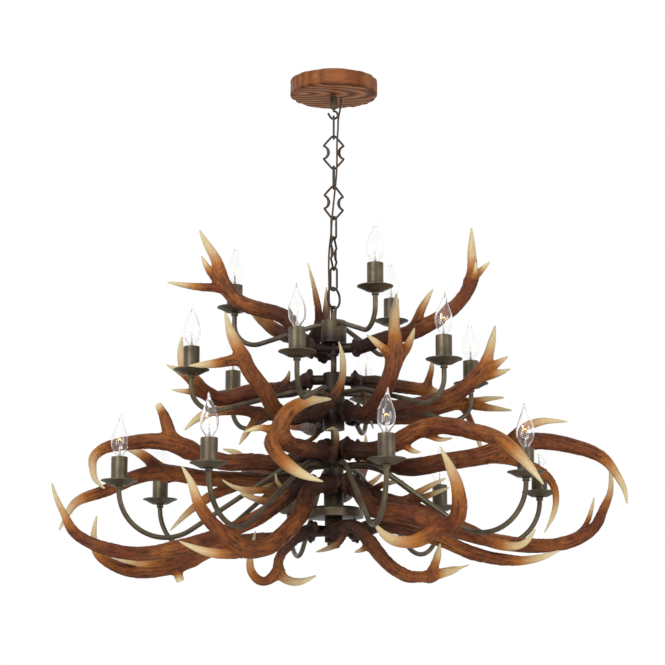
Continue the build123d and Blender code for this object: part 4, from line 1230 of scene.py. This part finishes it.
pan_profile = [
    (2, -pan_depth), (12, -pan_depth), (17.6, -pan_depth - 0.2), (19.4, -pan_depth + 0.9), (20.6, -9.4),
    (25, -7.2), (30, -4.4), (33.6, -2.7), (35.0, -2.6), (36.0, -2.1), (36.2, -1.3), (36.0, -0.5),
    (35.1, -0.05), (34.2, -0.3), (33.2, -1.1), (29.5, -2.9), (24.5, -5.6), (20.8, -7.6), (19.4, -8.4),
    (18.2, pan_floor), (2, pan_floor),
]
collar_profile = [
    (2, -pan_depth), (8.6, -pan_depth), (9.0, -12.2), (7.4, -13.0), (6.9, -14.4), (6.9, -16.6),
    (7.6, -17.3), (7.6, -18.4), (6.6, -19.0), (5.08, -19.0), (5.08, -12.2), (2, -12.2),
]
sleeve_profile = [
    (sleeve_radius - 1.5, pan_floor), (sleeve_radius + 0.9, pan_floor), (sleeve_radius + 0.9, -7.9),
    (sleeve_radius + 0.1, -7.3), (sleeve_radius, -6.6), (sleeve_radius, sleeve_top - 1.4),
    (sleeve_radius - 0.25, sleeve_top - 0.4), (sleeve_radius - 0.75, sleeve_top),
    (sleeve_radius - 1.25, sleeve_top - 0.3), (sleeve_radius - 1.5, sleeve_top - 1),
]
arm_sides = 20
pan_sides = 64


def at_lamps(shape, spots):
    """One copy of the shape at each spot, turned to its arm's bearing."""
    return gather([(turned(shape[0], bearing, (x, y, z)), shape[1]) for x, y, z, bearing in spots])


class CHANDELIER_OT_arms(bpy.types.Operator):
    """Bent tube arms, spun drip pans and their collars, one mesh for each tier"""

    bl_idname = "chandelier.arms"
    bl_label = "Arms and drip pans"

    def execute(self, context):
        collar = lathe(collar_profile, context.scene.chandelier_stage.sides, closed=True)
        pan = gather([lathe(pan_profile, pan_sides, closed=True), collar])
        for tier in tiers:
            spots = lamp_spots(tier)
            points, faces = tube(arm_line(tier), arm_radius, arm_sides, side=(0, 1, 0))
            arms = gather([(turned(points, bearing), faces) for *_, bearing in spots])
            make_piece(f"arm_tubes_{tier.name}", arms, "bronze", [f"arms_{tier.name}"])
            pans = at_lamps(pan, spots)
            make_piece(f"pan_dishes_{tier.name}", pans, "bronze", [f"drip_pans_{tier.name}"], crease=40)
        return {"FINISHED"}


class CHANDELIER_OT_candles(bpy.types.Operator):
    """Metal candle sleeves with a rolled rim and a foot bead"""

    bl_idname = "chandelier.candles"
    bl_label = "Candle sleeves"

    def execute(self, context):
        sleeve = lathe(sleeve_profile, context.scene.chandelier_stage.sides, closed=True)
        make_piece("candle_tubes", at_lamps(sleeve, all_lamp_spots), "bronze", ["candle_sleeves"])
        dress("lamp_holders", "holder")
        dress("bulb_caps", "brass")
        return {"FINISHED"}


# ---------------- bulbs
bulb_wall = 0.7
bulb_sides = 28
bulb_rows = 34
thin_wire_sides = 6
coil_rows = 90
# Half outline of the flame from neck to tip: share of its height and share of its greatest radius
bulb_outline = [
    (0, 0.36), (0.06, 0.46), (0.16, 0.78), (0.30, 0.985), (0.42, 0.985), (0.55, 0.84), (0.68, 0.60),
    (0.80, 0.34), (0.90, 0.17), (0.96, 0.115), (1.0, 0.06),
]
# Each bulb's tip leans by its own share of the setting, left or right, as the lamps come round the tiers
tip_leans = [-1, 1, 0.6, -0.7, 1, -1, 0.8, -0.6, 1, -0.9, 0.7, 1, -1, 0.9, -0.6, 1, -0.8]
stem_profile = [(0, 0), (4.6, 0), (4.2, 3), (2.0, 8), (1.5, 16), (2.1, 18.5), (1.3, 20), (0, 20.3)]
stem_sides = 14
lead_wire_radius = 0.32
support_radius = 0.25
coil_span = 10
coil_foot = 33
coil_arch = 4
coil_turns = 14
coil_radius = 0.75
coil_wire_radius = 0.3
filament_turn = 40


def bulb_shape(lean):
    """Outer and inner wall turned about the axis; the tip leans by lean times a power of its fade."""
    height_share, radius_share = np.array(bulb_outline, float).T
    knots = smooth_line(np.stack([height_share, radius_share, 0 * height_share], 1), spacing=0.01)
    share = np.linspace(0, 1, bulb_rows)
    height = share * bulb_height
    radius = np.interp(share, knots[:, 0], knots[:, 1]) * bulb_radius
    inner = np.stack([np.maximum(radius - bulb_wall, 0.02), height], 1)[:-4]
    inner[-1, 0] = 0
    outer = np.vstack([np.stack([radius, height], 1), [0, bulb_height]])
    points, faces = lathe(np.vstack([inner[::-1], outer]), bulb_sides)
    points[:, 2] += cap_top
    share = np.clip((points[:, 2] - cap_top) / bulb_height, 0, 1)
    points[:, 0] += lean * fade(share, 0.55, 1.0) ** 1.4
    return points, faces


def filament_shape():
    """Glass stem with two support wires and a coiled filament between their ends."""
    leads = [[(side * 1.2, 0, 18), (side * 2.4, 0, 24), (side * 5.0, 0, coil_foot)] for side in (-1, 1)]
    wires = [tube(smooth_line(line, spacing=3), lead_wire_radius, thin_wire_sides) for line in leads]
    support = smooth_line([(0, 0, 19), (0, 0.6, 28), (0, 0, 36.5)], spacing=3)
    wires.append(tube(support, support_radius, thin_wire_sides))
    share = np.linspace(0, 1, coil_rows)
    across = coil_span * (share - 0.5)
    arch = coil_foot + coil_arch * (1 - (2 * share - 1) ** 2)
    turn = share * 2 * pi * coil_turns
    coil = np.stack([across, coil_radius * np.cos(turn), arch + coil_radius * np.sin(turn)], 1)
    stem = gather([lathe(stem_profile, stem_sides), *wires])
    return stem, tube(coil, coil_wire_radius, thin_wire_sides)


class CHANDELIER_OT_bulbs(bpy.types.Operator):
    """Bent-tip glass bulbs with a stem, support wires and a glowing filament"""

    bl_idname = "chandelier.bulbs"
    bl_label = "Bulbs"

    def execute(self, context):
        full_lean = context.scene.chandelier_bulbs.lean / METRE
        glasses = []
        for (x, y, z, bearing), lean in zip(all_lamp_spots, tip_leans):
            points, faces = bulb_shape(lean * full_lean)
            glasses.append((points + (x, y, z), faces))
        raised = [(x, y, z + cap_top, bearing + filament_turn) for x, y, z, bearing in all_lamp_spots]
        stem, coil = filament_shape()
        make_piece("bulb_flames", gather(glasses), "glass", ["bulb_glasses"], crease=60)
        make_piece("bulb_stems", at_lamps(stem, raised), "lead_glass")
        make_piece("bulb_filaments", at_lamps(coil, raised), "filament", crease=80)
        return {"FINISHED"}


# ---------------- chain, ring, hook and hubs
link_wire_radius = 2.25
link_bow_radius = 6.75
link_half = 34.75
link_cusp = (21.2, 14)
link_waist_x = 11
link_sides = 12
crescent_extra = 1.1
ornate_bearings = {"chain_link_ornate_1": 4, "chain_link_ornate_2": 22, "chain_link_ornate_3": 74}
node_finishes = {
    "hub": ["top_hub", "middle_hub", "bottom_hub", "under_hub", "stem"],
    "bronze": ["bottom_plate", "cap_nut", "rose_nipple"],
    "chain": ["hook", "suspension_ring", *[node for node in frame["nodes"] if "link_plain" in node]],
    "zinc": ["ceiling_bracket"],
    "plastic": ["terminal_block"],
}


def ornate_link_shape():
    """Flat loop: a bow at each end, straight shoulders to four cusps and a thick crescent at each waist.

    The crescent is the arc through (cusp x, +-cusp z) and (waist x, 0), whose radius is
    ((cusp x - waist x)^2 + cusp z^2) / (2 (cusp x - waist x)); its wire swells as cos^2 of the height.
    """
    cusp = np.array(link_cusp)
    bow = np.array([0, link_half - link_bow_radius])
    gap = cusp - bow
    touch = atan2(gap[1], gap[0]) + acos(link_bow_radius / np.linalg.norm(gap))
    turn = np.linspace(pi / 2, touch, 9)[:, None]
    arc = bow + link_bow_radius * np.hstack([np.cos(turn), np.sin(turn)])
    shoulder = arc[-1] + np.linspace(0, 1, 8)[1:-1, None] * (cusp - arc[-1])
    dip = cusp[0] - link_waist_x
    crescent_radius = (dip**2 + cusp[1] ** 2) / (2 * dip)
    centre = np.array([link_waist_x + crescent_radius, 0])
    swing = np.linspace(pi - atan2(cusp[1], centre[0] - cusp[0]), pi, 11)[1:, None]
    crescent = centre + crescent_radius * np.hstack([np.cos(swing), np.sin(swing)])
    quarter = np.concatenate([arc, shoulder, [cusp - (0.5, 0.25)], [cusp], [cusp - (0.9, 0.5)], crescent])
    swell = np.cos(0.5 * pi * np.clip(quarter[:, 1] / cusp[1], 0, 1)) ** 2
    wire = link_wire_radius + crescent_extra * np.where(np.arange(len(quarter)) >= len(arc) + 6, swell, 0)
    right = np.concatenate([quarter, quarter[-2::-1] * (1, -1)])
    loop = np.concatenate([right, right[-2:0:-1] * (-1, 1)])
    wire = np.concatenate([wire, wire[-2::-1]])
    wire = np.concatenate([wire, wire[-2:0:-1]])
    path = np.stack([loop[:, 0], np.zeros(len(loop)), loop[:, 1]], 1)
    return tube(path, wire, link_sides, side=(0, 1, 0), closed=True)


class CHANDELIER_OT_metalwork(bpy.types.Operator):
    """Gives the hubs, stem, hook, chain links and ring their finishes"""

    bl_idname = "chandelier.metalwork"
    bl_label = "Hubs, stem and chain"

    def execute(self, context):
        points, faces = ornate_link_shape()
        for finish, nodes in node_finishes.items():
            for node in nodes:
                dress(node, finish)
        for node, bearing in ornate_bearings.items():
            middle = 0.5 * (node_top(node) + node_bottom(node))
            link = turned(points, bearing, (0, 0, middle)), faces
            make_piece(f"{node}_cast", link, "chain", [node], body=node, crease=60)
        return {"FINISHED"}


# ---------------- rose
rim_round = 6
rose_sides = 220


def rose_shape(edge_wear):
    """Turned slab, hollow above; its rim is hewn back, and its face rippled, by noise."""
    face = np.linspace(thread_hole_radius, rose_radius - rim_round - 1, 22)
    rim_turn = np.linspace(0, pi / 2, 8)
    rim_centre = (rose_radius - rim_round, rim_round - rose_height)
    profile = [(r, -rose_height) for r in face]
    profile += [(rim_centre[0] + rim_round * sin(a), rim_centre[1] - rim_round * cos(a)) for a in rim_turn]
    profile += [(rose_radius, z) for z in np.linspace(-rose_height + 8, -3, 9)]
    profile += [(rose_radius - 1.2, -0.6), (rose_radius - 2.5, 0), (cavity_radius, 0)]
    profile += [(cavity_radius, -cavity_depth), (thread_hole_radius, -cavity_depth)]
    points, faces = lathe(profile, rose_sides, closed=True)
    radius = np.hypot(points[:, 0], points[:, 1])
    angle = np.arctan2(points[:, 1], points[:, 0])
    on_rim = np.stack([3.2 * np.cos(angle), 3.2 * np.sin(angle), points[:, 2] / 26], 1)
    hollow = lattice_noise(on_rim * 1.7 + 9, seed=3)
    nick = lattice_noise(on_rim * (7, 7, 3) + 3, seed=8)
    outer = fade(radius, rose_radius - 16, rose_radius - 3)
    depth = edge_wear * (0.9 * fade(hollow, 0.35, 0.8) + 0.25 * nick) * outer
    points[:, :2] *= (1 - depth / np.maximum(radius, 1))[:, None]
    low = fade(-points[:, 2], rose_height - 6, rose_height) * outer
    points[:, 2] += 1.6 * low * fade(hollow + 0.3 * nick, 0.5, 1.0)
    ripple = lattice_noise(points / (60, 5, 30) + 2, seed=14) - 0.5
    under = (radius > thread_hole_radius + 1) & (points[:, 2] < -rose_height + 4)
    points[:, 2] += np.where(under, 0.45 * np.abs(ripple), 0)
    return points, faces


class CHANDELIER_OT_rose(bpy.types.Operator):
    """Rustic wooden rose, hollow above, with a hewn rim"""

    bl_idname = "chandelier.rose"
    bl_label = "Ceiling rose"

    def execute(self, context):
        shape = rose_shape(context.scene.chandelier_rose.edge_wear / METRE)
        rose = make_piece("rose_slab", shape, "wood", ["ceiling_rose"], body="ceiling_mount", crease=50)
        x, y, z = (point_places(rose.data) / METRE).T
        near_rim = fade(np.hypot(x, y), rose_radius - 9, rose_radius - 1)
        low_rim = fade(-z, rose_height - 9, rose_height - 3)
        set_values(rose.data, "hollow", "FLOAT", "value", near_rim * low_rim)
        return {"FINISHED"}


# ---------------- supply cord
cord_radius = 2
cord_spacing = 1.6
cord_sides = 15
strand_depth = 0.09
# From the terminal block in the rose, through the links, to the stem's eye
cord_route = [
    (16, 12, -15), (16, 12, -46), (9, 8, -80), (9, -3, -106), (6.5, -9, -138), (7, -8, -176),
    (5, -7, -214),
    (1, -8, -252), (-3, -7.5, -290), (-5, -8, -326), (-9.5, -7, -362), (-10.5, -8, -400),
    (-9.5, -6.5, -436), (-9.5, -3, -470), (-9, -3.5, -498), (-9, -3.5, -515.25),
]
hanging_bodies = [
    "ceiling_mount", "chain_link_plain_1", "chain_link_ornate_1", "chain_link_plain_2",
    "chain_link_ornate_2", "chain_link_plain_3", "chain_link_ornate_3", "chain_link_plain_4",
    "suspension_ring", "chandelier",
]


def cord_centre_line():
    """Points read from the route's own NURBS curve."""
    curve = bpy.data.curves.new("cord_route", "CURVE")
    curve.dimensions = "3D"
    curve.resolution_u = 12
    spline = curve.splines.new("NURBS")
    spline.points.add(len(cord_route) - 1)
    for point, (x, y, z) in zip(spline.points, cord_route):
        point.co = (x * METRE, y * METRE, z * METRE, 1)
    spline.order_u = 3
    spline.use_endpoint_u = True
    holder = bpy.data.objects.new("cord_route", curve)
    mesh = bpy.data.meshes.new_from_object(holder)
    line = np.array([vertex.co for vertex in mesh.vertices]) / METRE
    bpy.data.objects.remove(holder)
    bpy.data.meshes.remove(mesh)
    return line if line[0, 2] > line[-1, 2] else line[::-1]


def even_steps(line, spacing):
    """The same line read at even steps of its length."""
    run = lengths_along(line)
    steps = np.linspace(0, run[-1], int(run[-1] / spacing) + 1)
    return np.stack([np.interp(steps, run, line[:, axis]) for axis in range(3)], 1), steps


class CHANDELIER_OT_cord(bpy.types.Operator):
    """Twisted supply cord, in nine lengths, each round one joint of the chain"""

    bl_idname = "chandelier.cord"
    bl_label = "Supply cord"

    def execute(self, context):
        line, run = even_steps(cord_centre_line(), cord_spacing)
        twist = 2 * pi * run / (context.scene.chandelier_cord.lay / METRE)
        angle = np.arange(cord_sides) * 2 * pi / cord_sides
        section = 1 - strand_depth * (1 - np.cos(3 * (angle[None] - twist[:, None]))) / 2
        rings = tube(line, cord_radius, cord_sides, section=section)[0].reshape(-1, cord_sides, 3)[1:-1]
        joints = {joint["child"]: joint["pos_m"][2] / METRE for joint in frame["joints"]}
        pivots = [joints[body] for body in hanging_bodies[1:]]
        halfway = [0.5 * (above + below) for above, below in zip(pivots, pivots[1:])]
        ends = [line[0, 2] + 1, *halfway, line[-1, 2] - 1]
        for index, (above, below) in enumerate(zip(hanging_bodies, hanging_bodies[1:])):
            rows = np.flatnonzero((line[:, 2] <= ends[index] + 1.7) & (line[:, 2] >= ends[index + 1]))
            cap = [np.repeat(line[i][None, None], cord_sides, axis=1) for i in (rows[0], rows[-1])]
            grid = np.concatenate([cap[0], rings[rows], cap[1]])
            shape = grid.reshape(-1, 3), grid_faces(len(grid), cord_sides)
            piece = make_piece(
                f"supply_cord_{index + 1}", shape, "cord", ["supply_cord"], body=None, crease=80,
            )
            add_lay_map(piece.data, line, twist)
            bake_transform(piece)
        return {"FINISHED"}


def add_lay_map(mesh, line, twist):
    """UV map whose U runs round the cord and V along it, in threads, turned with the twist."""
    points = point_places(mesh) / METRE
    order = np.argsort(-line[:, 2])
    row = order[np.clip(np.searchsorted(-line[order, 2], -points[:, 2]), 0, len(line) - 1)]
    out = points - line[row]
    around = np.arctan2(out[:, 1], out[:, 0]) * 3 / pi
    along = twist[row] * 3 / pi
    corner = np.empty(len(mesh.loops), np.int32)
    mesh.loops.foreach_get("vertex_index", corner)
    layer = mesh.uv_layers.new(name="lay")
    layer.data.foreach_set("uv", np.stack([around[corner], along[corner]], 1).astype(np.float32).ravel())


# ---------------- stage
PHOTO_WIDTH = 665
FOCAL_PIXELS = 2220
SENSOR = 36
CAMERA_TILT = 10.8
CAMERA_PLACE = (-0.0025, -4.45, -1.383)
FLOOR_HALF = 9
FLOOR_HEIGHT = -2500


def lamp(name, power, size, spot, aim):
    """A round soft lamp at the spot that shines towards the aim."""
    data = bpy.data.lights.new(name, "AREA")
    data.shape = "DISK"
    data.energy = power
    data.size = size
    lamp_object = new_object(name, data)
    lamp_object.location = spot
    lamp_object.rotation_euler = (Vector(aim) - Vector(spot)).to_track_quat("-Z", "Y").to_euler()


class CHANDELIER_OT_stage(bpy.types.Operator):
    """Camera, pale floor, white surroundings and soft lamps"""

    bl_idname = "chandelier.stage"
    bl_label = "Stage"

    def execute(self, context):
        scene = context.scene
        look = scene.chandelier_stage
        data = bpy.data.cameras.new("camera")
        data.sensor_width = SENSOR
        data.lens = FOCAL_PIXELS * SENSOR / PHOTO_WIDTH
        camera = new_object("camera", data)
        camera.location = CAMERA_PLACE
        camera.rotation_euler = (radians(90 + CAMERA_TILT), 0, 0)
        scene.camera = camera
        corners = np.array([(-1, -1), (1, -1), (1, 1), (-1, 1)]) * FLOOR_HALF / METRE
        mesh = new_mesh("floor", np.insert(corners, 2, FLOOR_HEIGHT, axis=1), np.array([[0, 1, 2, 3]]))
        material, tree, shader = new_finish("floor", Roughness=0.9)
        haze = spread(tree, speckle(tree, object_place(tree), scale=1.5, detail=2, roughness=0.5), 0.3, 0.7)
        feed(tree, shader, Base_Color=mixed(tree, haze, look.floor, scaled_colour(look.floor, 0.985)))
        mesh.materials.append(material)
        new_object("floor", mesh)
        world = bpy.data.worlds.new("surroundings")
        scene.world = world
        world.use_nodes = True
        tree = world.node_tree
        ray = place(tree, "ShaderNodeLightPath").outputs
        seen = compute(tree, "MAXIMUM", ray["Is Camera Ray"], ray["Is Glossy Ray"])
        seen = compute(tree, "MAXIMUM", seen, ray["Is Transmission Ray"])
        tree.links.new(spread(tree, seen, 0, 1, look.sky, 1.0), tree.nodes["Background"].inputs["Strength"])
        tree.nodes["Background"].inputs["Color"].default_value = (1, 1, 1, 1)
        lamp("key_light", look.key_power, size=1.6, spot=(-1.6, -2.6, 0.7), aim=(0, 0, -0.7))
        lamp("fill_light", look.fill_power, size=1.6, spot=(2.2, -2.2, -0.2), aim=(0, 0, -0.7))
        lamp("low_light", look.low_power, size=1.8, spot=(0.2, -1.6, -2.3), aim=(0, 0, -0.8))
        scene.view_settings.view_transform = "Standard"
        return {"FINISHED"}


class CHANDELIER_PT_panel(bpy.types.Panel):
    """Buttons that build each part of the chandelier"""

    bl_idname = "CHANDELIER_PT_panel"
    bl_label = "Antler chandelier"
    bl_space_type = "VIEW_3D"
    bl_region_type = "UI"
    bl_category = "Chandelier"

    def draw(self, context):
        for operator in operators:
            self.layout.operator(operator.bl_idname)


settings = {
    "chandelier_antlers": AntlerSettings,
    "chandelier_metal": MetalSettings,
    "chandelier_rose": RoseSettings,
    "chandelier_bulbs": BulbSettings,
    "chandelier_cord": CordSettings,
    "chandelier_stage": StageSettings,
}
operators = [
    CHANDELIER_OT_stage,
    CHANDELIER_OT_cord,
    CHANDELIER_OT_antlers,
    CHANDELIER_OT_arms,
    CHANDELIER_OT_candles,
    CHANDELIER_OT_bulbs,
    CHANDELIER_OT_metalwork,
    CHANDELIER_OT_rose,
]


def register():
    for name, kind in settings.items():
        bpy.utils.register_class(kind)
        setattr(bpy.types.Scene, name, PointerProperty(type=kind))
    for kind in (*operators, CHANDELIER_PT_panel):
        bpy.utils.register_class(kind)


def unregister():
    for kind in (CHANDELIER_PT_panel, *reversed(operators)):
        bpy.utils.unregister_class(kind)
    for name, kind in settings.items():
        delattr(bpy.types.Scene, name)
        bpy.utils.unregister_class(kind)


def main():
    register()
    bpy.ops.chandelier.stage()
    bpy.ops.chandelier.cord()
    bpy.ops.chandelier.antlers()
    bpy.ops.chandelier.arms()
    bpy.ops.chandelier.candles()
    bpy.ops.chandelier.bulbs()
    bpy.ops.chandelier.metalwork()
    bpy.ops.chandelier.rose()


if __name__ == "__main__":
    main()
